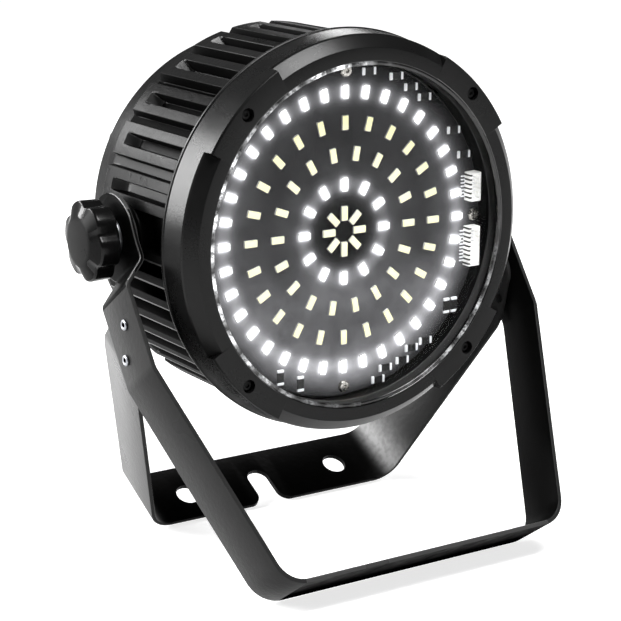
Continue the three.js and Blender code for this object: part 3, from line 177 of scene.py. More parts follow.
def make(name, points, faces, finish, replaced="", body="head", smooth_angle=40):
    """A piece of the part: smooth up to an angle, on its body, with its finish."""
    piece = closed_object(name, points, faces)
    mesh = piece.data
    mesh.polygons.foreach_set("use_smooth", np.ones(len(mesh.polygons), dtype=bool))
    mesh.set_sharp_from_angle(angle=math.radians(smooth_angle))
    mesh.materials.append(finish)
    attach(piece, body)
    if replaced:
        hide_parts(replaced)
    return piece


def eased(corners, radii, steps=5, closed=False):
    """Polyline with each corner replaced by an arc: centre on the bisector, swept evenly."""
    corners = [np.array(c, float) for c in corners]
    out = []
    count = len(corners)
    for k, corner in enumerate(corners):
        radius = radii[k] if hasattr(radii, "__len__") else radii
        if radius == 0 or (not closed and k in (0, count - 1)):
            out.append(corner[None, :])
            continue
        before = corners[k - 1] - corner
        after = corners[(k + 1) % count] - corner
        reach = min(np.linalg.norm(before), np.linalg.norm(after)) * 0.49
        before /= np.linalg.norm(before)
        after /= np.linalg.norm(after)
        half = math.acos(np.clip(before @ after, -1, 1)) / 2
        if abs(half - math.pi / 2) < 1e-3:
            out.append(corner[None, :])
            continue
        tangent = min(radius / math.tan(half), reach)
        radius = tangent * math.tan(half)
        bisector = (before + after) / np.linalg.norm(before + after)
        centre = corner + bisector * radius / math.sin(half)
        start = corner + before * tangent - centre
        side = -np.sign(before[0] * after[1] - before[1] * after[0])
        turn = side * np.linspace(0, math.pi - 2 * half, steps + 1)
        spin_x = start[0] * np.cos(turn) - start[1] * np.sin(turn)
        spin_y = start[0] * np.sin(turn) + start[1] * np.cos(turn)
        out.append(centre + np.stack([spin_x, spin_y], axis=-1))
    return np.concatenate(out)


def turned(name, corners, radii, finish, place=head_place, columns=64, replaced="", body="head",
           closed=False):
    """Profile of (radius, height) rows with eased corners, turned round the axis."""
    profile = eased(corners, radii, 4, closed)
    return make(name, round_points(profile[:, :1], profile[:, 1:], ring(columns), place),
                grid_faces(len(profile), columns, wrap_rows=closed), finish, replaced, body)


def circle_outline(x, y, radius, count=48):
    angle = ring(count)
    return np.stack([x + radius * np.cos(angle), y + radius * np.sin(angle)], axis=-1)


def rounded_outline(x, y, width, height, corner, steps=6):
    w, h = width / 2, height / 2
    return eased([(x - w, y - h), (x + w, y - h), (x + w, y + h), (x - w, y + h)],
                 corner, steps, closed=True)


def layers(rows, centre=(0, 0), steps=2):
    """Grid of rounded rectangles from rows of (width, height, corner, z) and maybe a shift in x."""
    grid = []
    for width, height, corner, z, *shift in rows:
        outline = rounded_outline(centre[0] + sum(shift), centre[1], width, height, corner, steps)
        grid.append(np.column_stack([outline, np.full(len(outline), z)]))
    return np.stack(grid)


def scattered(name, template, spots, finish, replaced="", body="head"):
    """One mesh of the same small closed grid at many spots of (x, y, turn in radians).

    Each copy is the template turned by its angle about z and moved to its spot.
    """
    rows, columns, _ = template.shape
    x0, y0, turn = (column[:, None, None] for column in np.array(spots, float).T)
    x = template[..., 0] * np.cos(turn) + template[..., 1] * np.sin(turn) + x0
    y = -template[..., 0] * np.sin(turn) + template[..., 1] * np.cos(turn) + y0
    firsts = np.arange(len(spots)) * rows * columns
    sides = (grid_faces(rows, columns)[None] + firsts[:, None, None]).reshape(-1, 4)
    return make(name, head_place(x, y, template[..., 2]).reshape(-1, 3),
                sides.tolist() + end_faces(rows, columns, firsts), finish, replaced, body)


def stacked(name, centre, rows, finish, replaced="", steps=5, body="head"):
    """Closed body through a stack of rounded rectangles."""
    return scattered(name, layers(rows, centre, steps), [(0, 0, 0)], finish, replaced, body)


def column_tool(outline, low, high, place=head_place):
    """Cutter: upright prism on a closed outline of (x, y) rows, closed by fans at its two ends."""
    centre = outline.mean(axis=0)
    rings = np.stack([0 * outline + centre, outline, outline, 0 * outline + centre])
    heights = np.array([low, low, high, high])[:, None]
    points = place(rings[..., 0], rings[..., 1], heights + 0 * rings[..., 0]).reshape(-1, 3)
    return closed_object("tool", points, grid_faces(4, len(outline)), slivers=True)


def cut_by(piece, *cutters, solver="EXACT"):
    """Cuts closed cutter meshes out of a piece, and deletes the cutters."""
    for cutter in cutters:
        knife = piece.modifiers.new("cut", "BOOLEAN")
        knife.object = cutter
        knife.operation = "DIFFERENCE"
        knife.solver = solver
        bpy.context.view_layer.update()
        result = bpy.data.meshes.new_from_object(
            piece.evaluated_get(bpy.context.evaluated_depsgraph_get()))
        piece.modifiers.clear()
        old = piece.data
        piece.data = result
        result.name = old.name
        bpy.data.meshes.remove(old)
        bpy.data.objects.remove(cutter)


def face_places(piece):
    """Centres in mm and outward unit normals of a piece's faces, in the shared frame."""
    faces = piece.data.polygons
    centres, normals = (np.empty(3 * len(faces)) for _ in range(2))
    faces.foreach_get("center", centres)
    faces.foreach_get("normal", normals)
    return centres.reshape(-1, 3) / MM, normals.reshape(-1, 3)


def refinish(piece, chosen):
    """Give faces another finish: chosen is a list of (finish, mask over the faces)."""
    mesh = piece.data
    index = np.zeros(len(mesh.polygons), dtype=np.int32)
    for finish, mask in chosen:
        mesh.materials.append(finish)
        index[mask] = len(mesh.materials) - 1
    mesh.polygons.foreach_set("material_index", index)
    mesh.update()


# Finishes


class Nodes:
    """Adds shader nodes to one new material, and links or sets their inputs."""

    def __init__(self, name):
        self.material = bpy.data.materials.new(name)
        self.material.use_nodes = True
        self.tree = self.material.node_tree
        self.shader = self.tree.nodes["Principled BSDF"]
        self.place = self.add("ShaderNodeTexCoord").outputs["Object"]

    def add(self, kind, inputs=None, **settings):
        node = self.tree.nodes.new(kind)
        for key, value in settings.items():
            setattr(node, key, value)
        for key, value in (inputs or {}).items():
            self.feed(value, node.inputs[key])
        return node

    def feed(self, value, socket):
        if isinstance(value, bpy.types.NodeSocket):
            self.tree.links.new(value, socket)
        else:
            socket.default_value = value

    def set(self, **values):
        """Feeds the shader's own inputs, named with underscores for spaces."""
        for key, value in values.items():
            self.feed(value, self.shader.inputs[key.replace("_", " ")])

    def axes(self):
        return self.add("ShaderNodeSeparateXYZ", {"Vector": self.place}).outputs

    def noise(self, scale, detail=3.0, roughness=0.5):
        return self.add("ShaderNodeTexNoise", {"Vector": self.place, "Scale": scale,
                                               "Detail": detail, "Roughness": roughness}
                        ).outputs["Fac"]

    def spread(self, value, low, high, to_low=0.0, to_high=1.0):
        return self.add("ShaderNodeMapRange", {"Value": value, "From Min": low, "From Max": high,
                                               "To Min": to_low, "To Max": to_high}
                        ).outputs["Result"]

    def math(self, operation, one, two=0.0, clamp=False):
        node = self.add("ShaderNodeMath", {0: one, 1: two}, operation=operation, use_clamp=clamp)
        return node.outputs[0]

    def times(self, one, two, clamp=False):
        return self.math("MULTIPLY", one, two, clamp)

    def plus(self, one, two, clamp=False):
        return self.math("ADD", one, two, clamp)

    def minus(self, one, two):
        return self.math("SUBTRACT", one, two)

    def bell(self, value, centre, width, peak):
        """peak * exp(-((value - centre) / width)^2)."""
        away = self.math("DIVIDE", self.minus(value, centre), width)
        return self.times(self.math("EXPONENT", self.times(self.times(away, away), -1.0)), peak)

    def blend(self, share, one, two):
        node = self.add("ShaderNodeMix", {"Factor": share, 6: one, 7: two}, data_type="RGBA")
        return node.outputs[2]

    def bump(self, height, strength, distance=0.0002):
        self.set(Normal=self.add("ShaderNodeBump", {"Height": height, "Strength": strength,
                                                    "Distance": distance}).outputs["Normal"])


def grey(level):
    return (level, level, level, 1)


def shaded(colour, share):
    return tuple(min(1, c * share) for c in colour[:3]) + (1,)


def head_polar(m):
    """x, y, radius in mm and turns clockwise from the top, about the head's axis."""
    place = m.axes()
    x = m.math("DIVIDE", place["X"], MM)
    y = m.minus(m.math("DIVIDE", place["Z"], MM), AXIS_Z)
    radius = m.math("SQRT", m.plus(m.times(x, x), m.times(y, y)))
    return x, y, radius, m.math("DIVIDE", m.math("ARCTAN2", x, y), TAU)


def moulded(name, level, rough, grain=900, bump=0.12, sheen_spots=0.06, gloss=0.5, height_shade=()):
    """Moulded plastic: fine spark-eroded grain, with broad patches that shine a little more.

    height_shade paints shade by height. It gives four heights in mm above the axis and a share: the skin
    gains its gloss between the first two, and keeps only that share of it above the last two.
    """
    m = Nodes(name)
    fine = m.noise(grain, 4, 0.6)
    broad = m.noise(38, 2)
    m.set(Base_Color=m.blend(m.spread(broad, 0.3, 0.7), grey(level * 0.85), grey(level * 1.2)),
          Roughness=m.spread(m.plus(broad, m.times(fine, 0.5)), 0.4, 1.1,
                             rough - sheen_spots, rough + sheen_spots),
          Specular_IOR_Level=gloss)
    # Painted shade: the skin's reflection dims by its height above the axis.
    if height_shade:
        height = head_polar(m)[1]
        m.set(Specular_IOR_Level=m.times(m.spread(height, *height_shade[:2], gloss * 0.2, gloss),
                                         m.spread(height, *height_shade[2:4], 1.0, height_shade[4])))
    m.bump(fine, bump)
    return m.material


def powder_coat(name, level, rough, grain=420, bump=0.25, gloss=0.5):
    """Powder coat on steel: an orange-peel skin of two sizes."""
    m = Nodes(name)
    peel = m.noise(grain, 2, 0.4)
    fine = m.noise(grain * 4, 2, 0.5)
    patch = m.noise(25, 2)
    m.set(Base_Color=m.blend(m.spread(patch, 0.3, 0.7), grey(level * 0.9), grey(level * 1.15)),
          Roughness=m.spread(patch, 0.3, 0.7, rough - 0.04, rough + 0.04),
          Specular_IOR_Level=gloss)
    m.bump(m.plus(peel, m.times(fine, 0.4)), bump, 0.00015)
    return m.material


def plated(name, colour, rough):
    """Plated metal: bright, with fine wear and slight clouding."""
    m = Nodes(name)
    wear = m.noise(1500, 3, 0.6)
    cloud = m.noise(60, 2)
    m.set(Base_Color=m.blend(m.spread(cloud, 0.3, 0.7), shaded(colour, 0.8), colour), Metallic=1.0,
          Roughness=m.spread(wear, 0.3, 0.7, rough - 0.06, rough + 0.08))
    m.bump(wear, 0.05, 0.0001)
    return m.material


def grained(name, dark, light, rough, noise=(1200, 3), bump=(0.06, 0.0001), **more):
    """Plain skin whose colour wanders between two close tones with a fine grain."""
    m = Nodes(name)
    fine = m.noise(*noise)
    m.set(Base_Color=m.blend(fine, dark, light), Roughness=rough, **more)
    if bump:
        m.bump(fine, *bump)
    return m.material


def strap_bend_highlight():
    """Rear bracket's inner face: painted shade on the bar, darker than on the legs, and a pale painted
    highlight over the two bends.
    """
    m = Nodes("strap_bend_highlight")
    out = m.math("ABSOLUTE", m.axes()["X"])
    peel = m.noise(420, 2, 0.4)
    share = m.bell(out, (REAR_FLANGE_X - 32.5) * MM, 0.0033, 1.0)
    leg = m.spread(out, (REAR_FLANGE_X - 36) * MM, (REAR_FLANGE_X - 30) * MM)
    bend_highlight = m.times(share, m.spread(peel, 0.3, 0.7, 0.75, 1.1), clamp=True)
    # Painted shade on the bar and a painted highlight over the bends.
    m.set(Base_Color=m.blend(bend_highlight, m.blend(leg, grey(0.003), grey(0.024)), grey(0.3)),
          Roughness=0.35, Specular_IOR_Level=0.05)
    m.bump(peel, 0.6, 0.00015)
    return m.material


def strap_under_shade():
    """Under the crossbar: painted shade, near black and without reflection, greyer and streaked near the
    front edge.
    """
    m = Nodes("strap_under_shade")
    streak = m.noise(90, 3, 0.6)
    near_edge = m.spread(m.axes()["Z"], 0.005, 0.014)
    share = m.times(near_edge, m.spread(streak, 0.35, 0.65, 0.4, 1.0), clamp=True)
    # Painted shade: near black, with no reflection at all.
    m.set(Base_Color=m.blend(share, grey(0.002), grey(0.07)), Roughness=0.5,
          Specular_IOR_Level=0.0)
    m.bump(streak, 0.3, 0.00015)
    return m.material


def package_glow(m, radius, turns, index, peak, width):
    """Painted glow: a bell of the distance outside a small box in the middle of the nearest lit package.
    """
    count = RING_COUNTS[index]
    places = m.times(turns, count)
    off = m.math("ABSOLUTE", m.minus(places, m.math("ROUND", places)))
    sideways = m.times(m.times(off, TAU / count), radius)
    outward = m.math("ABSOLUTE", m.minus(radius, RING_R * RING_SHARES[index]))
    out_x = m.math("MAXIMUM", m.minus(sideways, 0.6), 0.0)
    out_y = m.math("MAXIMUM", m.minus(outward, 1.5), 0.0)
    away = m.math("SQRT", m.plus(m.times(out_x, out_x), m.times(out_y, out_y)))
    return m.bell(away, 0.0, width, peak)


def packages_glow(m, radius, turns, peak, width):
    one, two = (package_glow(m, radius, turns, index, peak, width)
                for index, lit in enumerate(RING_LIT) if lit)
    return m.plus(one, two)


def board_glow_painted():
    """Dark board with a painted glow from its LEDs: bells over the lit rings' radii and round each
    package, and broad bells that make it brighter towards the bottom.
    """
    m = Nodes("board_glow_painted")
    _, y, radius, turns = head_polar(m)
    rings = m.plus(m.bell(radius, RING_R, 3.4, 0.17),
                   m.bell(radius, RING_R * RING_SHARES[3], 3.0, 0.13))
    wide = m.plus(m.bell(radius, 58.0, 17.0, 0.07), m.bell(radius, 26.0, 12.0, 0.05))
    wide = m.plus(wide, m.plus(m.bell(y, -80.0, 30.0, 0.08), m.bell(y, -29, 13, 0.05)))
    soft = m.times(m.plus(wide, rings), m.spread(y, -55, 55, 1.6, 0.6))
    soft = m.times(soft, m.times(m.spread(radius, 9.5, 17.0), m.spread(radius, 66.0, 71.5, 1.0, 0.2)))
    fine = m.noise(600, 3)
    cloudy = m.spread(m.noise(90, 4, 0.6), 0.3, 0.7, 0.7, 1.3)
    near = m.plus(packages_glow(m, radius, turns, 2.3, 1.25),
                  packages_glow(m, radius, turns, 0.12, 3.2))
    m.set(Base_Color=m.blend(fine, grey(0.003), grey(0.008)), Roughness=0.45,
          Specular_IOR_Level=0.05, Emission_Color=(0.95, 0.95, 1.0, 1),
          Emission_Strength=m.plus(m.times(soft, cloudy), near))
    m.bump(fine, 0.05, 0.0001)
    return m.material


def lit_part(name, dark, light, grain, peak, width):
    """Part of a lit LED, brightest over the middle of its package: the LED's own light on its phosphor,
    and a painted bloom on its frame.
    """
    m = Nodes(name)
    _, _, radius, turns = head_polar(m)
    m.set(Base_Color=m.blend(m.noise(grain, 2), dark, light), Roughness=0.5,
          Emission_Color=(0.97, 0.98, 1.0, 1),
          Emission_Strength=packages_glow(m, radius, turns, peak, width))
    return m.material


def painted_glow_skin(name, colour, rough, strength, pitch=0):
    """Pale part with a painted glow in place of the light of the LEDs beside it, with dark gaps a pitch
    apart if it has one.
    """
    m = Nodes(name)
    shade = m.blend(m.noise(1200, 3), shaded(colour, 0.8), colour)
    glow_strength = m.spread(m.noise(200, 2), 0.35, 0.65, strength * 0.5, strength * 1.5)
    if pitch:
        x, y, _, _ = head_polar(m)
        wave = m.math("SINE", m.times(y, TAU / pitch))
        gap = m.times(m.spread(wave, -0.1, 0.6), m.spread(x, 64.6, 65.6, 1.0, 0.15))
        shade = m.blend(gap, shade, grey(0.02))
        glow_strength = m.times(glow_strength, m.minus(1.0, gap))
    m.set(Base_Color=shade, Roughness=rough, Emission_Color=colour, Emission_Strength=glow_strength)
    return m.material


def edge_glow():
    """Painted glints for light that the window's edge passes on: a glint beside each LED, strongest on
    the left.
    """
    m = Nodes("edge_glow")
    _, _, _, turns = head_polar(m)
    places = m.times(turns, RING_COUNTS[0])
    off = m.minus(places, m.math("ROUND", places))
    glint = m.plus(m.bell(off, 0.12, 0.26, 1.3), 0.03)
    left = m.plus(m.bell(turns, -0.25, 0.13, 1.0), m.bell(turns, -0.035, 0.03, 1.3))
    right = m.bell(turns, 0.36, 0.06, 0.35)
    uneven = m.spread(m.noise(420, 3, 0.7), 0.38, 0.62, 0.2, 2.2)
    m.set(Base_Color=(0.01, 0.01, 0.01, 1), Roughness=0.2, Emission_Color=(0.97, 0.98, 1.0, 1),
          Emission_Strength=m.times(m.times(glint, uneven), m.plus(left, right)))
    return m.material


def window_clear():
    """Clear polycarbonate: a faint skin of reflection, with the rest passing straight through."""
    m = Nodes("window_clear")
    m.set(Roughness=m.spread(m.noise(30, 3), 0.3, 0.7, 0.02, 0.05), Base_Color=(1, 1, 1, 1),
          Transmission_Weight=1.0, IOR=1.09)
    through = m.add("ShaderNodeBsdfTransparent", {"Color": (0.97, 0.98, 0.98, 1)})
    path = m.add("ShaderNodeLightPath")
    both = m.add("ShaderNodeMixShader", {"Fac": path.outputs["Is Shadow Ray"],
                                         1: m.shader.outputs[0], 2: through.outputs[0]})
    m.feed(both.outputs[0], m.tree.nodes["Material Output"].inputs["Surface"])
    return m.material


def display_dark():
    m = Nodes("display_dark")
    smudge = m.noise(45, 3)
    m.set(Base_Color=m.blend(smudge, (0.006, 0.003, 0.003, 1), (0.012, 0.006, 0.006, 1)),
          Roughness=m.spread(smudge, 0.3, 0.7, 0.08, 0.16))
    return m.material


def plain(name, colour, rough):
    return grained(name, shaded(colour, 0.88), shaded(colour, 1.12), rough)


# Painted shade by height on the bezel's side, the drum and the slot floors: their reflection dims low
# down, and on the drum and in the slots also high up.
body_black = moulded("body_black", 0.004, 0.28, grain=1500, gloss=0.16, height_shade=(4, 30, 400, 500, 1))
front_black = moulded("front_black", 0.005, 0.3, gloss=0.16)
housing_black = moulded("housing_black", 0.003, 0.34, grain=480, bump=0.6, gloss=0.11,
                        sheen_spots=0.1, height_shade=(0, 25, 36, 56, 0.33))
# Painted shade in the slots and on the ribs facing the floor; painted highlights on the short slots'
# ramps and on those ribs' edges.
slot_floor_shade = moulded("slot_floor_shade", 0.001, 0.42, grain=700, bump=0.25, gloss=0.16,
                      height_shade=(-6, 10, 24, 38, 0.03))
ramp_highlight = moulded("ramp_highlight", 0.02, 0.35, grain=700, bump=0.3, gloss=0.3)
shade_black = moulded("shade_black", 0.003, 0.5, grain=700, bump=0.25, gloss=0.02)
rib_edge_highlight = moulded("rib_edge_highlight", 0.07, 0.35, grain=700, bump=0.1, gloss=0.4)
slot_wall_shade = moulded("slot_wall_shade", 0.001, 0.6, grain=700, bump=0.2, gloss=0.02)
well_black = moulded("well_black", 0.003, 0.1, grain=300, bump=0.03, sheen_spots=0.03, gloss=0.8)
screw_black = moulded("screw_black", 0.004, 0.5, gloss=0.15)
# Painted shade on the knob's outer face: its reflection is nearly taken away.
knob_face_shade = moulded("knob_face_shade", 0.008, 0.3, grain=1200, bump=0.05, gloss=0.02)
knob_black = moulded("knob_black", 0.004, 0.2, grain=1200, bump=0.05, gloss=0.16)
fitting_black = moulded("fitting_black", 0.014, 0.4, grain=1300)
# Painted light on the brackets: a paler copy for the rear bracket's outward sides, a shade copy, and a
# highlight copy for edges.
strap_black = powder_coat("strap_black", 0.024, 0.3, gloss=0.05, bump=0.6)
strap_lit_side = powder_coat("strap_lit_side", 0.075, 0.3, gloss=0.1, bump=0.6)
strap_shade = powder_coat("strap_shade", 0.003, 0.4, gloss=0.01)
strap_edge_highlight = powder_coat("strap_edge_highlight", 0.05, 0.3, gloss=0.3)
panel_black = powder_coat("panel_black", 0.02, 0.46)
zinc = plated("zinc", (0.62, 0.63, 0.66, 1), 0.32)
zinc_dull = plated("zinc_dull", (0.30, 0.31, 0.33, 1), 0.42)
nickel = plated("nickel", (0.5, 0.485, 0.455, 1), 0.26)
brass = plated("brass", (0.62, 0.46, 0.18, 1), 0.3)
rubber = grained("rubber", grey(0.016), grey(0.026), 0.85, (1400, 3, 0.7), (0.2, 0.0002))
# Painted highlight and shade inside the rear bracket, painted shade under the front crossbar.
bend_highlight_coat = strap_bend_highlight()
under_bar_shade = strap_under_shade()
# The lit phosphor shines with the LEDs' own light; the lit frames carry a painted bloom, and the unlit
# phosphor a faint painted glow.
phosphor_on = lit_part("lit_phosphor", (0.95, 0.95, 0.9, 1), (1, 1, 0.97, 1), 2500, 2.8, 1.4)
frame_bloom_painted = lit_part("lit_frame", grey(0.10), grey(0.14), 1500, 2.4, 1.25)
phosphor_off_glow = grained("dull_phosphor", (0.80, 0.76, 0.36, 1), (0.93, 0.9, 0.52, 1), 0.45,
                       (2500, 3), None, Emission_Color=(0.93, 0.87, 0.45, 1),
                       Emission_Strength=0.36)
# Painted glow on the board round the lit LEDs, brighter towards the bottom.
mask_painted_glow = board_glow_painted()
package_white = plain("package_white", (0.5, 0.5, 0.46, 1), 0.45)
ceramic_dark = plain("ceramic_dark", (0.012, 0.012, 0.012, 1), 0.5)
# Painted glow on the connectors and the solder, standing in for the LEDs' light on them.
connector_ivory = painted_glow_skin("connector_ivory", (0.86, 0.86, 0.84, 1), 0.35, 0.45, pitch=2.0)
# Painted glints on a bead inside the lip.
painted_edge_glints = edge_glow()
board_green = plain("board_green", (0.02, 0.09, 0.04, 1), 0.4)
solder = painted_glow_skin("solder", (0.82, 0.83, 0.85, 1), 0.35, 0.26)
clear_skin = window_clear()
tinted = display_dark()

# Front of the head


def bezel():
    """Turned ring whose front edge, between four pads, slopes back.

    Each angle's closed profile is a blend, by a step at each pad's ends, of a pad profile
    and a sloped profile that have the same count of points.
    """
    outer_r, skirt_r, seat_r, bore_r, bore_depth = 87.0, 82.7, 77.2, 2.9, 3.4
    front, rear, lip_back, pocket_back = BEZEL_FRONT, -4.5, 11.3, 6.8
    tail = [(86.5, -2.8), (outer_r, -3.3), (outer_r, rear), (skirt_r, rear),
            (skirt_r, pocket_back), (seat_r, pocket_back), (seat_r, lip_back), (LIP_R, lip_back)]
    radii = [0.5, 0.4, 0.5, 0.4, 0.2, 0.3, 0.4, 0.2, 0.2, 0.2, 0.2, 0.3]
    pad, slope = (eased(edge + tail, radii, 4, closed=True) for edge in (
        [(LIP_R, front - 0.04), (BEZEL_SCREW_R, front), (84.6, front), (85.15, front - 0.8)],
        [(LIP_R, front), (BEZEL_SCREW_R, front - 0.1), (85.0, 10.1), (85.5, 9.2)]))
    half, step, quarter = math.radians(15), math.radians(0.18), TAU / 4
    marks = [quarter / 2 + k * quarter + side * (half + off)
             for k in range(4) for side in (-1, 1) for off in (-step, -step / 3, step / 3, step)]
    angle = np.unique(np.concatenate([ring(288), np.mod(marks, TAU)]))
    turn = np.abs(np.mod(angle, quarter) - quarter / 2)
    share = np.clip((half + step / 3 - turn) / (2 * step / 3), 0, 1)[:, None]
    profile = slope[:, None, :] * (1 - share) + pad[:, None, :] * share
    piece = make("bezel_ring", round_points(profile[..., 0], profile[..., 1], angle),
                 grid_faces(len(pad), len(angle), wrap_rows=True), body_black, "front_bezel",
                 smooth_angle=30)
    cut_by(piece, *[column_tool(circle_outline(x, y, bore_r), front - bore_depth, front + 2)
                    for x, y in BEZEL_SCREWS])
    # The well's wall is as smooth as glass, and the front keeps its gloss all the way round.
    centres, normals = face_places(piece)
    from_axis = np.hypot(centres[:, 0], centres[:, 2] - AXIS_Z)
    in_well = (np.abs(from_axis - LIP_R - 0.1) < 0.3) & (BOARD_Y - centres[:, 1] > -3.5)
    refinish(piece, [(front_black, normals[:, 1] < -0.4), (well_black, in_well)])


def drum_wall():
    """Outer profile of the drum from front to rear, as rows of (radius, z)."""
    outer = eased([(82.4, 6.5), (82.4, -4.8), (DRUM_R, -4.8), (DRUM_R, -63), (78.1, -70),
                   (76.9, HOUSING_REAR), (0, HOUSING_REAR)],
                  [0.2, 0.1, 0.5, 1.2, 1.5, 1.6, 0], 6)
    wall = outer[(outer[:, 1] < 6.4) & (outer[:, 0] > 20)]
    return wall[np.argsort(-wall[:, 1], kind="stable")]


def housing():
    """Ribbed drum: outer radius R(z) less a slot depth f(x) * max(0, R(z) - F(z)).

    x is the distance round from the slot's centre line, f falls from 1 to 0 over the slot's
    side walls, and F is the slot's floor radius, which on every other slot climbs to the
    surface before the rear slope.
    """
    across = np.array([0.0, 1.0, 1.85, 2.12, 2.3, 2.62, 2.78, 3.0, 3.6])
    share = np.array([1.0, 1.0, 1.0, 0.965, 0.85, 0.18, 0.035, 0.0, 0.0])
    across = np.concatenate([-across[:0:-1], across, [5.04]])
    share = np.concatenate([share[:0:-1], share, [0.0]])
    angle = (np.arange(SLOTS)[:, None] * PITCH + across[None, :] / DRUM_R).ravel()
    cut = np.tile(share, SLOTS)
    index = np.repeat(np.arange(SLOTS), len(across))
    offset = np.tile(across, SLOTS)
    for first in (12, 39):
        # The rib beside each pivot is left out.
        between = ((index == first) & (offset > 0)) | ((index == first + 1) & (offset < 0))
        cut = np.where(between, 1.0, cut)
    wall = drum_wall()
    stops = [-5.9, -6.0, -6.25, -6.5, -10, -20, -30, -40, -49, -50.5, -51.5, -52.5, -53.5, -54.5,
             -55.5, -56.2, -56.6, -57, -58, -60, -64, -65, -66, -67, -67.6, -68.2, -68.8, -69.1]
    z = np.unique(np.concatenate([wall[:, 1], stops]))[::-1]
    z = z[z > HOUSING_REAR + 0.001]
    radius = np.interp(-z, -wall[:, 1], wall[:, 0])
    short_floor = np.interp(-z, [0, 50.0, 51.2, 56.4, 57.2],
                            [SLOT_FLOOR_R, SLOT_FLOOR_R, SLOT_FLOOR_R + 0.2, 83.7, 85.0])
    floor = np.where((index % 2 == 0)[None, :], SLOT_FLOOR_R, short_floor[:, None])
    opening = np.interp(-z, [5.9, 6.4], [0.0, 1.0])
    depth = np.maximum(0, radius[:, None] - floor) * opening[:, None] * cut[None, :]
    depth = np.where((radius[:, None] > 77.7) & (z[:, None] < -5), depth, 0)
    # The rest of the closed profile has no slots: rear face, inner wall and front ring.
    rest = np.array([(74.8, HOUSING_REAR), (60, HOUSING_REAR), (0, HOUSING_REAR), (0, -80.8),
                     (73.9, -80.8), (73.9, -70), (76, -63), (76, -16), (66.4, -8.2), (66.4, -3.7),
                     (LIP_R, -3.7), (LIP_R, 6.5), (82.2, 6.5)])
    r = np.concatenate([radius[:, None] - depth, np.repeat(rest[:, :1], len(angle), axis=1)])
    z = np.concatenate([z, rest[:, 1]])
    piece = make("ribbed_housing", round_points(r, z[:, None], angle),
                 grid_faces(len(z), len(angle), wrap_rows=True), housing_black, "rear_housing",
                 smooth_angle=35)
    cut_by(piece, column_tool(rounded_outline(0, 0, 98, 72, 7), HOUSING_REAR - 2, -78.8))
    finish_housing(piece, wall)


def finish_housing(piece, wall):
    """Painted shade in the slots, duller than the ribs' tops, and on the ribs that face the floor, which
    show only their edges as painted highlights; the short slots' ramps carry a painted highlight too.
    """
    inner_r, slot_front, slot_rear, ramp_front, skin_depth = 77.6, -5.95, -69.2, -51.5, 0.12
    edge_from, edge_to, lowest_edge = -3.75, -2.3, -78
    centres, normals = face_places(piece)
    height = centres[:, 2] - AXIS_Z
    from_axis = np.hypot(centres[:, 0], height)
    z = BOARD_Y - centres[:, 1]
    skin = np.interp(-z, -wall[:, 1], wall[:, 0])
    radial = (normals[:, 0] * centres[:, 0] + normals[:, 2] * height) / from_axis
    ribbed = (from_axis > inner_r) & (z < slot_front) & (z > slot_rear)
    in_slot = ribbed & (from_axis < skin - skin_depth)
    places = np.arctan2(np.abs(centres[:, 0]), height) / PITCH
    nearest = np.round(places)
    past_slot = (places - nearest) * PITCH * DRUM_R
    low = ribbed & ~in_slot & (height < -4)
    ramp = in_slot & (nearest % 2 == 1) & (radial > 0.4) & (z < ramp_front)
    lit_rib_edge = low & (past_slot > edge_from) & (past_slot < edge_to) & (height > lowest_edge)
    # Painted shade and painted highlights, face by face.
    refinish(piece, [(slot_wall_shade, in_slot & (radial < 0.72)),
                     (slot_floor_shade, in_slot & (radial > 0.9)), (ramp_highlight, ramp),
                     (shade_black, low & ~lit_rib_edge), (rib_edge_highlight, lit_rib_edge)])


def pivot_bosses():
    for side, label in ((1, "right"), (-1, "left")):
        turned(f"pivot_boss_{label}", [(0, 72), (14.5, 72), (14.5, 84), (6.4, 84), (6.4, 73), (0, 73)],
               [0, 0.3, 0.6, 0.3, 0, 0], housing_black, side_place(side), 72)


def window():
    """Pane, gasket, and a bead inside the lip that carries painted glints for the pane's edge."""
    turned("window_pane", [(0, 8), (PANE_R, 8), (PANE_R, 11), (0, 11)], [0, 0.2, 0.5, 0],
           clear_skin, columns=160, replaced="front_window")
    turned("gasket_ring", [(73.1, 6.8), (PANE_R, 6.8), (PANE_R, 7.7), (73.1, 7.7)], 0.25, rubber,
           columns=160, replaced="window_gasket", closed=True)
    angle = ring(12)
    bead = np.stack([73.7 + 0.9 * np.cos(angle), 14.4 + 0.5 * np.sin(angle)], axis=-1)
    turned("lip_edge_glints", bead, 0, painted_edge_glints, columns=288, closed=True)


BEZEL_SCREWS = [clock(BEZEL_SCREW_R, 45 + 90 * k) for k in range(4)]
BOARD_SCREWS = [clock(BOARD_SCREW_R, 90 * k) for k in range(4)]

bezel()
housing()
pivot_bosses()
window()


# LED board


def led_spots(index):
    count = RING_COUNTS[index]
    angle = (np.arange(count) + RING_STARTS[index]) * TAU / count
    radius = RING_R * RING_SHARES[index]
    return np.stack([radius * np.sin(angle), radius * np.cos(angle), angle], axis=-1)


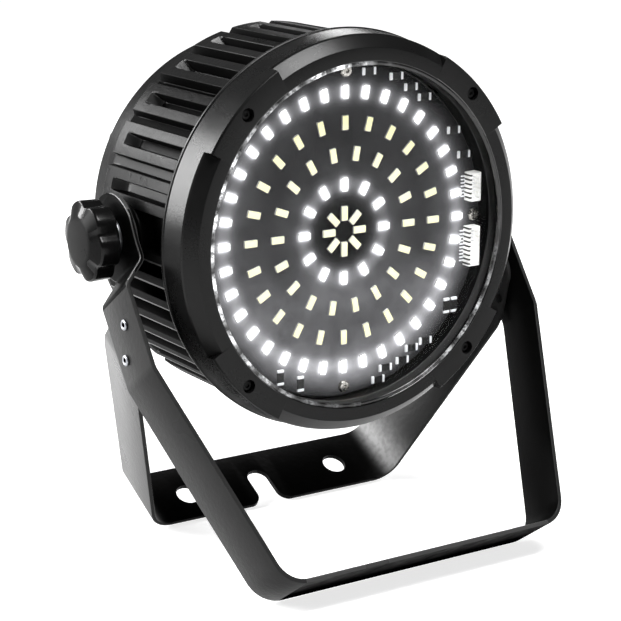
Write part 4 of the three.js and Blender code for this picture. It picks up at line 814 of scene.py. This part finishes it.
def board():
    """Board disc with its packages: a white frame with a recessed phosphor window in each."""
    turned("board_disc", [(0, -BOARD_THICK), (BOARD_R, -BOARD_THICK), (BOARD_R, 0), (0, 0)],
           [0, 0.15, 0.15, 0], mask_painted_glow, columns=160, replaced="led_board")
    package = layers([(3.1, 6.4, 0.3, 0.02), (3.1, 6.4, 0.3, 0.8), (2.96, 6.26, 0.3, 0.9),
                      (2.86, 5.86, 0.3, 0.9), (2.8, 5.8, 0.3, 0.72)])
    pane = layers([(2.79, 5.79, 0.3, 0.6), (2.79, 5.79, 0.3, 0.74), (2.5, 5.5, 0.3, 0.8)])
    for lit, label, walls, phosphor in ((True, "lit", frame_bloom_painted, phosphor_on),
                                        (False, "idle", package_white, phosphor_off_glow)):
        spots = np.concatenate([led_spots(k) for k in range(5) if RING_LIT[k] == lit])
        scattered(f"led_frames_{label}", package, spots, walls)
        scattered(f"led_windows_{label}", pane, spots, phosphor)


FLAT_RESISTORS = ((12.2, 67.8), (26.4, 64.7), (34.1, 59.5), (41.4, 54.6), (57.5, 38.8),
                  (63.3, 27.5), (36.5, -57.0), (31.6, -61.9), (22.5, -64.0), (18.6, -68.8),
                  (44.1, -54.8))
UPRIGHT_RESISTORS = ((55.4, -40.3), (59.6, -40.3), (-32.2, -60.2), (-22.0, -64.5))


def chip_resistors():
    spots = [(x, y, TAU / 4) for x, y in FLAT_RESISTORS] + [(x, y, 0) for x, y in UPRIGHT_RESISTORS]
    scattered("resistor_bodies", layers([(3.2, 6.0, 0.15, 0.02), (3.2, 6.0, 0.15, 0.5),
                                         (3.1, 5.9, 0.15, 0.56)], steps=1), spots, ceramic_dark)
    ends = [(x + side * 2.75 * math.sin(turn), y + side * 2.75 * math.cos(turn), turn)
            for x, y, turn in spots for side in (-1, 1)]
    scattered("resistor_ends", layers([(3.3, 1.5, 0.2, 0.01), (3.2, 1.4, 0.2, 0.45),
                                       (3.1, 1.0, 0.2, 0.64)], steps=1), ends, solder)


def board_connectors():
    """White headers with a trough, a row of upright posts in it and solder tails beside it."""
    x, pin_pitch = 67.0, 1.5
    for label, y, length in (("upper", 13.2, 13.0), ("lower", -13.7, 18.0)):
        stacked(f"header_{label}", (x, y),
                [(6.0, length, 0.3, 0.3), (6.0, length, 0.3, 4.7), (5.6, length - 0.4, 0.3, 5.0),
                 (4.2, length - 2.0, 0.3, 5.0), (4.0, length - 2.2, 0.3, 4.6),
                 (4.0, length - 2.2, 0.3, 2.0)],
                connector_ivory, f"board_connector_{label}", steps=2)
        count = int((length - 2) // pin_pitch)
        spots = [(0, y + (k - (count - 1) / 2) * pin_pitch, 0) for k in range(count)]
        tails = [(2.4, 0.6, 0.1, 0.3), (2.4, 0.6, 0.1, 0.7), (2.2, 0.6, 0.1, 0.8, 0.1)]
        scattered(f"header_pins_{label}", layers(tails, (x - 3.9, 0), 1), spots, solder)
        posts = [(0.6, 0.6, 0.1, 1.9), (0.6, 0.6, 0.1, 4.4)]
        scattered(f"header_posts_{label}", layers(posts, (x, 0), 1), spots, solder)


PANEL_SCREWS = ((-51.46, 38.4), (51.46, 38.4), (51.46, -38.4), (-51.46, -38.4))


def screw_heads(label, spots, placed, seat, radius, shank, ease, finish, columns):
    """Socket-head screws: a shank, a domed head and a sunk drive, at each spot."""
    height = 1.6
    corners = [(0, seat - shank), (1.2, seat - shank), (1.2, seat), (radius, seat),
               (radius, seat + height * 0.45), (radius * 0.8, seat + height * 0.92),
               (0.95, seat + height), (0.85, seat + height - 0.9), (0, seat + height - 1.1)]
    for k, spot in enumerate(spots):
        turned(f"{label}_screw_head_{k + 1}", corners, [0, 0, 0, 0.15, *ease, 0.1, 0, 0], finish,
               placed(*spot), columns, f"{label}_screw_{k + 1}")


board()
chip_resistors()
board_connectors()
screw_heads("bezel", BEZEL_SCREWS, centred, 11.9, 2.4, 10, (0.4, 0.3), screw_black, 24)
screw_heads("board", BOARD_SCREWS, centred, 0.3, 2.8, 7, (0.6, 0.4), nickel, 32)
screw_heads("panel", PANEL_SCREWS, backwards, GAP - PANEL_OUTER, 2.8, 7, (0.6, 0.4), zinc, 32)


# Bracket pair


def bent_path(corners, radii, spacing=4.0, steps=10):
    """Outer and inner edge of a bent strip, with equal counts of points.

    A corner's arcs share their centre, so the inner radius is the outer one less or plus the
    thickness. Straight runs are divided evenly.
    """
    corners = np.array(corners, float)
    along = np.diff(corners, axis=0)
    along /= np.linalg.norm(along, axis=1)[:, None]
    left = np.stack([along[:, 1], -along[:, 0]], axis=-1)
    inner = corners.copy()
    inner[0] += left[0] * STRAP
    inner[-1] += left[-1] * STRAP
    for k in range(1, len(corners) - 1):
        mid = left[k - 1] + left[k]
        mid /= np.linalg.norm(mid)
        inner[k] += mid * STRAP / (mid @ left[k])
    turn = [0] + [np.sign(along[k - 1][0] * along[k][1] - along[k - 1][1] * along[k][0])
                  for k in range(1, len(corners) - 1)] + [0]
    inner_radii = [r + t * STRAP if r else 0 for r, t in zip(radii, turn)]
    outer_line = eased(corners, radii, steps)
    inner_line = eased(inner, inner_radii, steps)
    outs, ins = [outer_line[:1]], [inner_line[:1]]
    for a, b, c, d in zip(outer_line[:-1], outer_line[1:], inner_line[:-1], inner_line[1:]):
        count = max(1, int(np.linalg.norm(b - a) // spacing))
        t = (np.arange(count) + 1)[:, None] / count
        outs.append(a + (b - a) * t)
        ins.append(c + (d - c) * t)
    return np.concatenate(outs), np.concatenate(ins)


def strap(name, start, rest, bends, side_edges, place, replaced):
    """Flat bar carried along a bent path, with a rounded-rectangle section.

    The path runs down one leg from its round start, over the crossbar and up the mirror
    image. side_edges gives the two edges across the strap at each distance down the leg.
    """
    half, radii = start + rest, [0] * (len(start) + 1) + bends
    outer, inner = bent_path(half + [(-x, y) for x, y in half[::-1]], radii + radii[::-1])
    low, high = (edge[:, None] for edge in side_edges(-outer[:, 1]))
    ease = 0.45
    # Section walk round the square's corners, each eased by three points set in from it.
    into = ((0.0, 1.0), (0.3, 0.3), (1.0, 0.0))
    square = ((0, 0, into), (1, 0, into[::-1]), (1, 1, into), (0, 1, into[::-1]))
    s_end, s_in, t_end, t_in = np.array([(s_end, s_in, t_end, t_in) for s_end, t_end, corner in square
                                         for s_in, t_in in corner]).T
    ease_s = s_in * np.minimum(ease, np.maximum(high - low, 0.02) * 0.3)
    s = np.where(s_end == 0, low + ease_s, high - ease_s)
    t = t_end + np.where(t_end == 0, 1, -1) * t_in * (ease / STRAP)
    xy = outer[:, None, :] + (inner - outer)[:, None, :] * t[:, None]
    return make(name, place(xy[..., 0], -xy[..., 1], s).reshape(-1, 3),
                grid_faces(*s.shape).tolist() + end_faces(*s.shape), strap_black, replaced, "yoke", 38)


def front_place(x, l, s):
    """Front bracket: down the leg goes forward by the lean, and across it goes up."""
    x, l, s = np.broadcast_arrays(x, l, s)
    return np.stack([x, PIVOT_Y - l * math.sin(FRONT_LEAN) - s * math.cos(FRONT_LEAN),
                     AXIS_Z - l * math.cos(FRONT_LEAN) + s * math.sin(FRONT_LEAN)], axis=-1)


def rear_place(x, l, s):
    """Rear bracket: the same, leaning back."""
    x, l, s = np.broadcast_arrays(x, l, s)
    return np.stack([x, PIVOT_Y + l * math.sin(REAR_LEAN) - s * math.cos(REAR_LEAN),
                     AXIS_Z - l * math.cos(REAR_LEAN) - s * math.sin(REAR_LEAN)], axis=-1)


def on_rear(l, s):
    """A place on the front leg, given in the rear leg's own coordinates."""
    apart = FRONT_LEAN + REAR_LEAN
    return l * math.cos(apart) - s * math.sin(apart), l * math.sin(apart) + s * math.cos(apart)


FRONT_WIDE, FRONT_OFF, EAR_R = 26.8, 4.2, 19.0
FRONT_LENGTH = (AXIS_Z + (FRONT_OFF - FRONT_WIDE / 2) * math.sin(FRONT_LEAN)) / math.cos(FRONT_LEAN)
FRONT_BEND_X = FLANGE_X - 28.6
RIVETS = ((41.3, FRONT_OFF + 2.1), (54.0, FRONT_OFF - 5.9))
REAR_WIDE = 31.6
REAR_OFF = on_rear(*RIVETS[1])[1] - 9.6
REAR_KINK = on_rear(*RIVETS[1])[0] + 7.0
REAR_SHOULDER = REAR_KINK + 5.5
REAR_LENGTH = (AXIS_Z - (REAR_OFF + REAR_WIDE / 2) * math.sin(REAR_LEAN)) / math.cos(REAR_LEAN)
REAR_BEND_X = REAR_FLANGE_X - 32.4
TAB_TOP, TAB_R = on_rear(*RIVETS[0])[0] - 5.6, 10.0
BAR_HOLE_X, BAR_HOLE_R = REAR_BEND_X - 24.8, 5.6


def front_edges(l):
    """Ear disc of radius R about the pivot, then the strap's straight edges."""
    disc = np.sqrt(np.maximum(EAR_R**2 - l**2, 0))
    low, high = FRONT_OFF - FRONT_WIDE / 2, FRONT_OFF + FRONT_WIDE / 2
    on_disc_low = l < math.sqrt(EAR_R**2 - low**2)
    on_disc_high = l < math.sqrt(EAR_R**2 - high**2)
    return np.where(on_disc_low, -disc, low), np.where(on_disc_high, disc, high)


def rear_edges(l):
    """Tab with a round top, widening to the strap at the kink."""
    centre = TAB_TOP + TAB_R
    half = np.where(l < centre, np.sqrt(np.maximum(TAB_R**2 - (l - centre)**2, 0)),
                    np.clip(TAB_R + (REAR_WIDE / 2 - TAB_R) * (l - centre) / (REAR_SHOULDER - centre),
                            TAB_R, REAR_WIDE / 2))
    return REAR_OFF - half, REAR_OFF + half


def round_start(top, radius, x):
    """Path points down from a round end, closer together near the tip."""
    turn = np.linspace(0, math.pi / 2, 14)[:-1]
    return [(x, -(top + radius * (1 - math.cos(t)))) for t in turn]


def hook_outline():
    """Open slot: half circle at its end, parallel sides, and a mouth flared by two round lips."""
    x0, end, half, lip = -2.0, REAR_OFF + 1.0, 5.4, 6.0
    edge = REAR_OFF + REAR_WIDE / 2
    turn = np.linspace(math.pi, TAU, 20)
    round_end = np.stack([x0 + half * np.cos(turn), end + half * np.sin(turn)], axis=-1)
    turn = np.linspace(math.pi, math.pi / 2, 10)
    right = np.stack([x0 + half + lip + lip * np.cos(turn), edge - lip + lip * np.sin(turn)], axis=-1)
    left = right[::-1] * [-1, 1] + [2 * x0, 0]
    top = np.array([(x0 + half + lip, edge + 3), (x0 - half - lip, edge + 3)])
    return np.concatenate([round_end, right, top, left])


def brackets():
    front = strap("front_strap", round_start(-EAR_R, EAR_R, EAR_X),
                  [(EAR_X, 0.0), (EAR_X, -17.2), (FLANGE_X, -27), (FLANGE_X, -65),
                   (FRONT_BEND_X, -FRONT_LENGTH)], [4, 4, 12, 14],
                  front_edges, front_place, "front_bracket")
    rear = strap("rear_strap", round_start(TAB_TOP, TAB_R, REAR_FLANGE_X),
                 [(REAR_FLANGE_X, -(TAB_TOP + TAB_R)), (REAR_FLANGE_X, -REAR_KINK),
                  (REAR_BEND_X, -REAR_LENGTH)], [12, 13],
                 rear_edges, rear_place, "rear_bracket")

    def down_place(x, y, z):
        return rear_place(x, z, y)

    outlines = [circle_outline(x, REAR_OFF + 1.5, BAR_HOLE_R, 64) for x in (-BAR_HOLE_X, BAR_HOLE_X)]
    low, high = REAR_LENGTH - STRAP - 2, REAR_LENGTH + 2
    cut_by(rear, *[column_tool(outline, low, high, down_place)
                   for outline in outlines + [hook_outline()]], solver="FAST")
    finish_front(front)
    finish_rear(rear)


def finish_front(piece):
    """Painted highlight on the ears' eased edges and on the crossbar's top; painted shade on the ears,
    the inner faces and under the crossbar.
    """
    bar_half, bar_thick, ear_reach, ear_inner = 62, 5, 30, 84
    centres, normals = face_places(piece)
    side = np.abs(centres[:, 0])
    from_pivot = np.hypot(centres[:, 1] - PIVOT_Y, centres[:, 2] - AXIS_Z)
    edge = np.abs(normals @ [0, math.cos(FRONT_LEAN), -math.sin(FRONT_LEAN)])
    down = ((PIVOT_Y - centres[:, 1]) * math.sin(FRONT_LEAN)
            + (AXIS_Z - centres[:, 2]) * math.cos(FRONT_LEAN))
    bar = (down > FRONT_LENGTH - bar_thick) & (side < bar_half)
    on_ear = (from_pivot < ear_reach) & (side > ear_inner)
    inside = (normals[:, 0] * centres[:, 0] < 0) & ~bar & (edge < 0.5)
    # Painted shade on the ears, the inner faces and under the bar; painted highlight on the ears' edges
    # and the bar's top.
    refinish(piece, [(under_bar_shade, bar & (normals[:, 2] < -0.2)), (strap_shade, on_ear | inside),
                     (strap_edge_highlight, (on_ear & (edge > 0.3) & (edge < 0.97))
                      | (bar & (normals[:, 2] > 0.2)))])


def finish_rear(piece):
    """Painted highlight inside the two bends and painted shade on the bar, and paler sides as painted
    light.
    """
    below_kink = 20
    centres, normals = face_places(piece)
    outward = normals[:, 0] * centres[:, 0]
    low_enough = centres[:, 2] < AXIS_Z - (REAR_KINK + below_kink) * math.cos(REAR_LEAN)
    # Painted highlight over the bends, painted shade on the bar, painted light on the outward sides.
    refinish(piece, [(bend_highlight_coat, low_enough & ((outward < -0.02) | (normals[:, 2] > 0.5))),
                     (strap_lit_side, (outward > 0) & (np.abs(normals[:, 0]) > 0.7))])


def rivets():
    head, tail = FLANGE_X + GAP, REAR_FLANGE_X - STRAP - GAP
    corners = [(0, tail - 0.8), (2.0, tail - 0.8), (2.0, tail), (1.2, tail), (1.2, head), (2.3, head),
               (2.3, head + 0.5), (1.7, head + 0.85), (1.1, head + 0.6), (1.05, head - 1.2),
               (0, head - 1.3)]
    for side, label in ((1, "right"), (-1, "left")):
        for k, (along, across) in enumerate(RIVETS):
            _, y0, z0 = front_place(0, along, across)
            rivet = turned(f"rivet_{label}_{k + 1}", corners,
                           [0, 0.3, 0.1, 0, 0, 0.1, 0.25, 0.25, 0.1, 0, 0], zinc_dull,
                           side_place(side, y0, z0), 32, f"bracket_rivet_{label}_{k + 1}", "yoke")
            centres, _ = face_places(rivet)
            out = np.abs(centres[:, 0])
            off = np.hypot(centres[:, 1] - y0, centres[:, 2] - z0)
            in_bore = (off < 1.12) & (out > head - 1.4)
            refinish(rivet, [(shade_black, (out < tail + 0.1) | in_bore)])


brackets()
rivets()


# Knobs and what clamps with them


def knobs():
    """Lobed grip: radius r(a, h) = profile(h) - depth(h) * flute(a), with a domed outer face.

    flute(a) = exp(-(u / 11)^2), where u is the angle in degrees from the nearest of 6 flutes.
    """
    columns, outer, bore_r = 288, 107.0, 4.3
    angle = ring(columns)
    profile = eased([(0, 91.6), (10, 91.6), (10, 94.3), (17.1, 94.6), (17.3, outer - 3.4),
                     (10, outer - 0.7), (0, outer)], [0, 0.3, 0.6, 0.9, 1.3, 9.0, 0], 8)
    depth = 2.2 * np.clip((profile[:, :1] - 10.5) / 5.5, 0, 1)
    for side, label in ((1, "right"), (-1, "left")):
        from_flute = (np.degrees(angle) - side * 20) % 60 - 30
        r = profile[:, :1] - depth * np.exp(-(from_flute / 11) ** 2)
        place = side_place(side)
        grip = make(f"lobed_knob_{label}", round_points(r, profile[:, 1:], angle, place),
                    grid_faces(len(profile), columns), knob_black, f"knob_{label}",
                    f"knob_{label}", 50)
        _, normals = face_places(grip)
        # Painted shade on the outer face.
        refinish(grip, [(knob_face_shade, normals[:, 0] * side > 0.9)])
        for name, low, high, radius, ease, finish, replaced, body in (
                ("soft_washer", 84.3, 87.5, 13, 0.5, rubber, "friction_washer", "head"),
                ("steel_washer", 90.1, 91.3, 9.5, 0.2, zinc, "knob_washer", "yoke")):
            turned(f"{name}_{label}", [(bore_r, low), (radius, low), (radius, high), (bore_r, high)],
                   ease, finish, place, 96, f"{replaced}_{label}", body, closed=True)


knobs()


# Rear fittings

FUSE = (8.0, -23.0)
INLET = (-30.1, -23.0)
SIGNAL_IN = (35.1, -21.0)
SIGNAL_OUT = (35.1, 17.0)
LATCH = (35.1, 29.9)
LATCH_HOLE = rounded_outline(*LATCH, 7.6, 4.6, 0.4)
DISPLAY = (-26.1, 24.0)
BUTTONS = [(-44.06 + 12 * k, 4.5) for k in range(4)]
SIGNAL_PINS = ((4.2, 0), (0, -4.2), (-4.2, 0))
EYELET_Y = 60


def rear_feet():
    top, from_axis = HOUSING_REAR - GAP, 70.3
    for k, degrees in enumerate((62, 118, 242, 298)):
        turned(f"foot_{k + 1}", [(0, top - 4.2), (3.6, top - 4.2), (4.5, top - 3.2), (4.5, top),
                                 (0, top)], [0, 0.5, 0.6, 0.2, 0], rubber,
               centred(*clock(from_axis, degrees)), 48, f"rear_foot_{k + 1}")


def eyelet():
    """Ring of round wire, radius w about a circle of radius R in the upright plane, on a base."""
    base = HOUSING_REAR - GAP
    turned("eyelet_base", [(0, base - 3), (6, base - 3), (6, base), (0, base)], [0, 0.6, 0.2, 0],
           zinc, centred(0, EYELET_Y), 48)
    radius, wire, rows, columns = 9.5, 2.5, 96, 32
    a, b = ring(rows)[:, None], ring(columns)[None, :]
    reach = radius + wire * np.cos(b)
    points = head_place(wire * np.sin(b) + 0 * a, EYELET_Y + reach * np.cos(a),
                        base - 10 + reach * np.sin(a)).reshape(-1, 3)
    points[:, 1] = np.maximum(points[:, 1], BOARD_Y - base)
    make("eyelet_ring", points, grid_faces(rows, columns, wrap_rows=True), zinc, "safety_eyelet")


def buttons():
    top, collar, plunger = PANEL_OUTER, HOUSING_REAR, -76.9
    for k, spot in enumerate(BUTTONS):
        turned(f"button_cap_{k + 1}",
               [(0, top - 1.6), (2.8, top - 1.6), (3, top - 1.2), (3, collar), (4, collar),
                (4, collar + 1), (1.6, collar + 1), (1.6, plunger), (0, plunger)],
               [0, 0.4, 0.2, 0, 0.1, 0.1, 0, 0.1, 0], fitting_black, centred(*spot), 40,
               f"menu_button_{k + 1}", f"menu_button_{k + 1}")


def rear_panel():
    top = PANEL_OUTER
    piece = stacked("rear_plate", (0, 0),
                    [(112.2, 86.0, 7.0, PANEL_INNER), (112.2, 86.0, 7.0, top + 0.3),
                     (111.6, 85.4, 6.7, top)], panel_black, "rear_panel", 8)
    outlines = [circle_outline(x, y, 1.5, 24) for x, y in PANEL_SCREWS]
    outlines += [circle_outline(x, y, 3.3, 40) for x, y in BUTTONS]
    outlines += [circle_outline(*FUSE, 6.3, 48), circle_outline(*SIGNAL_IN, 11.9, 64),
                 circle_outline(*SIGNAL_OUT, 11.9, 64), rounded_outline(*INLET, 30.6, 22.6, 0.6),
                 LATCH_HOLE, rounded_outline(*DISPLAY, 41, 13, 2)]
    cut_by(piece, *[column_tool(outline, top - 1, PANEL_INNER + 1) for outline in outlines],
           column_tool(rounded_outline(*DISPLAY, 44.6, 16.6, 2.3), top - 1, top + 0.9))
    stacked("display_pane", DISPLAY, [(44, 16, 2, top + 0.6), (44, 16, 2, top - 0.7),
                                      (43, 15, 1.8, top - 1.0)], tinted, "display_window")


def small_screws(label, spots, seat):
    """Domed cross-recess heads, drawn once about the z axis and set at each spot."""
    profile = eased([(0, seat - 1.1), (1.2, seat - 1.0), (2.0, seat - 0.4), (2.0, seat)],
                    [0, 0.6, 0.2, 0], 3)
    angle = ring(24)
    # The middle is a tiny circle, so that the end's flat face has corners of its own.
    r = profile[:, :1].copy()
    r[0] = 0.01
    head = np.stack([r * np.sin(angle), r * np.cos(angle), profile[:, 1:] + 0 * angle], axis=-1)
    scattered(f"flange_screws_{label}", head, [(x, y, 0) for x, y in spots], zinc)


def mains_inlet():
    """Flanged socket: one surface from the back, round the flange and down into the socket."""
    face = SEAT - 2.4
    floor = face + 17
    x, y = INLET
    stacked("inlet_body", INLET, [(30, 22, 1, face + 20), (30, 22, 1, SEAT + 0.02),
                                  (48, 24, 4.5, SEAT), (48, 24, 4.5, face + 0.4),
                                  (47.2, 23.2, 4.2, face), (25.8, 17.8, 4.7, face),
                                  (25, 17, 4.5, face + 0.4), (25, 17, 4.5, floor)],
            fitting_black, "mains_inlet", 6)
    blade = layers([(2, 5, 0.3, floor + 0.3), (2, 5, 0.3, floor - 9.8), (1.2, 4.2, 0.3, floor - 10.5)])
    scattered("inlet_blades", blade, [(x - 7, y + 2.5, 0), (x + 7, y + 2.5, 0), (x, y - 2.5, 0)], nickel)
    small_screws("inlet", [(x - 20, y), (x + 20, y)], face - 0.02)


def fuse():
    flange = SEAT - 2
    turned("fuse_body", [(0, flange), (8, flange), (8, SEAT), (6, SEAT), (6, SEAT + 22),
                         (0, SEAT + 22)], [0, 0.5, 0.2, 0, 0.3, 0], fitting_black,
           centred(*FUSE), 64, "fuse_holder")
    bottom = flange - GAP
    top = bottom - 5
    cap = turned("fuse_grip", [(0, top), (5.0, top), (5.4, top + 1), (5.4, bottom), (0, bottom)],
                 [0, 0.4, 0.4, 0.2, 0], fitting_black, centred(*FUSE), 64, "fuse_cap")
    cut_by(cap, column_tool(rounded_outline(*FUSE, 12, 1.4, 0.2), top - 1, top + 1))


def signal_sockets():
    """Each socket: a flange with a round opening, a barrel with a floor, and pins or a core."""
    face = SEAT - 2
    floor = face + 15.5
    for label, (x, y), node, holes in (("in", SIGNAL_IN, "dmx_input", []),
                                       ("out", SIGNAL_OUT, "dmx_output", [LATCH_HOLE])):
        flange = stacked(f"signal_flange_{label}", (x, y),
                         [(26, 31, 3, SEAT), (26, 31, 3, face + 0.3), (25.4, 30.4, 2.8, face)],
                         nickel, node)
        cut_by(flange, *[column_tool(outline, face - 1, SEAT + 1)
                         for outline in [circle_outline(x, y, 10.55, 72)] + holes])
        turned(f"signal_barrel_{label}",
               [(0, floor), (9.4, floor), (9.4, face), (10.45, face), (10.45, SEAT + 0.2),
                (11.6, SEAT + 0.2), (11.6, face + 20), (0, face + 20)],
               [0, 0.2, 0.3, 0.3, 0, 0.1, 0.3, 0], nickel, centred(x, y), 72)
        small_screws(f"signal_{label}", [(x - 9.9, y + 12.2), (x + 9.9, y - 12.2)], face - 0.02)
    inside = floor - 0.05
    turned("signal_floor", [(0, floor - 0.6), (9.2, floor - 0.6), (9.2, inside), (0, inside)],
           [0, 0.2, 0, 0], fitting_black, centred(*SIGNAL_IN), 64)
    for k, (dx, dy) in enumerate(SIGNAL_PINS):
        turned(f"signal_pin_{k + 1}", [(0, floor - 9), (1.2, floor - 9), (1.2, floor), (0, floor)],
               [0, 0.8, 0, 0], brass, centred(SIGNAL_IN[0] + dx, SIGNAL_IN[1] + dy), 24)
    core = turned("signal_core", [(0, face + 1), (7.6, face + 1), (7.6, inside), (0, inside)],
                  [0, 0.4, 0, 0], fitting_black, centred(*SIGNAL_OUT), 64)
    cut_by(core, *[column_tool(circle_outline(SIGNAL_OUT[0] + dx, SIGNAL_OUT[1] + dy, 1.4, 24),
                               face, face + 9) for dx, dy in SIGNAL_PINS])
    stacked("latch_key", LATCH, [(7, 4, 0.5, face + 4.4), (7, 4, 0.5, face - 1.2),
                                 (6.2, 3.2, 0.4, face - 1.6)], nickel, "dmx_latch", body="dmx_latch")


rear_feet()
eyelet()
buttons()
rear_panel()
mains_inlet()
fuse()
signal_sockets()


# CAD nodes that keep their solids take their finishes here

NODE_FINISHES = (
    (panel_black, ("board_carrier",)),
    (board_green, ("driver_board", "display_board")),
    (zinc, ("knob_stud_left", "knob_stud_right")),
    (brass, ("pivot_insert_left", "pivot_insert_right", "driver_pillar_1", "driver_pillar_2",
             "driver_pillar_3", "driver_pillar_4")),
)
for finish, node_names in NODE_FINISHES:
    for node_name in node_names:
        node_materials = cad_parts[node_name].data.materials
        node_materials.clear()
        node_materials.append(finish)


# Studio


def studio():
    """White floor: a disc of rings whose radii grow by a fixed share, far wider than the view."""
    rings, columns = 14, 48
    angle = ring(columns)
    radius = np.concatenate([[0.0], 60.0 * 0.57 ** np.arange(rings - 2, -1, -1)])[:, None]
    points = np.stack([radius * np.cos(angle), radius * np.sin(angle), 0 * radius * angle], axis=-1)
    mesh = bpy.data.meshes.new("studio_floor")
    mesh.from_pydata(points.reshape(-1, 3).tolist(), [], grid_faces(rings, columns).tolist())
    floor = bpy.data.objects.new("studio_floor", mesh)
    bpy.context.scene.collection.objects.link(floor)
    m = Nodes("floor_white")
    path = m.add("ShaderNodeLightPath").outputs
    seen = m.plus(path["Is Camera Ray"], path["Is Glossy Ray"], clamp=True)
    seen = m.plus(seen, path["Is Transmission Ray"], clamp=True)
    distance = m.add("ShaderNodeVectorMath", {0: m.place}, operation="LENGTH").outputs[1]
    m.set(Base_Color=m.blend(m.noise(3, 2), grey(0.60), grey(0.64)), Roughness=0.9,
          Specular_IOR_Level=0.1, Emission_Color=(1, 1, 1, 1),
          Emission_Strength=m.times(seen, m.spread(distance, 0.2, 1.8, 0.76, 0.93)))
    mesh.materials.append(m.material)


def air():
    """Dim studio air with a pale glow along the horizon, by the height of the direction."""
    world = bpy.data.worlds.new("studio_air")
    world.use_nodes = True
    tree = world.node_tree
    direction = tree.nodes.new("ShaderNodeTexCoord").outputs["Generated"]
    split = tree.nodes.new("ShaderNodeSeparateXYZ")
    ramp = tree.nodes.new("ShaderNodeValToRGB")
    tree.links.new(direction, split.inputs[0])
    tree.links.new(split.outputs["Z"], ramp.inputs["Fac"])
    stops = ramp.color_ramp.elements
    stops[0].position, stops[0].color = 0.0, grey(0.5)
    stops[1].position, stops[1].color = 0.3, grey(0.05)
    stops.new(0.1).color = grey(0.18)
    tree.links.new(ramp.outputs["Color"], tree.nodes["Background"].inputs[0])
    tree.nodes["Background"].inputs[1].default_value = 1.0
    bpy.context.scene.world = world


def lamp(name, place, size, watts, size_y=None):
    data = bpy.data.lights.new(name, "AREA")
    data.shape = "RECTANGLE"
    data.size = size
    data.size_y = size_y or size
    data.energy = watts
    light = bpy.data.objects.new(name, data)
    light.location = place
    aim = Vector((0, 0, 0.12)) - Vector(place)
    light.rotation_euler = aim.to_track_quat("-Z", "Y").to_euler()
    bpy.context.scene.collection.objects.link(light)


def camera():
    """Photograph's camera: focal length and place found from the rings of LEDs."""
    focal, photo_width = 2006.6, 621
    data = bpy.data.cameras.new("photo_camera")
    data.sensor_width = 36
    data.lens = focal / photo_width * data.sensor_width
    data.clip_end = 20
    eye = Vector((-473.46, BOARD_Y - 697.02, AXIS_Z + 182.58)) * MM
    right = Vector((0.83693, -0.54730, 0.00368))
    up = Vector((0.13404, 0.21148, 0.96815))
    back = Vector((-0.53064, -0.80978, 0.25035))
    turn = Matrix((right, up, back)).transposed().to_4x4()
    holder = bpy.data.objects.new("photo_camera", data)
    holder.matrix_world = Matrix.Translation(eye) @ turn
    bpy.context.scene.collection.objects.link(holder)
    bpy.context.scene.camera = holder


studio()
air()
lamp("back_left_panel", (-0.56, 1.2, 0.72), 0.42, 9)
lamp("left_panel", (-1.06, 0.9, 0.56), 0.5, 40, 0.8)
lamp("back_right_panel", (0.8, 1.15, 0.8), 0.25, 1.6)
lamp("back_panel", (0.05, 1.35, 1.0), 0.8, 0.9, 0.4)
lamp("top_panel", (0.1, -0.5, 1.35), 0.7, 26, 0.4)
lamp("right_strip", (1.3, -0.4, 0.35), 0.25, 2)
camera()
bpy.context.scene.view_settings.view_transform = "Standard"
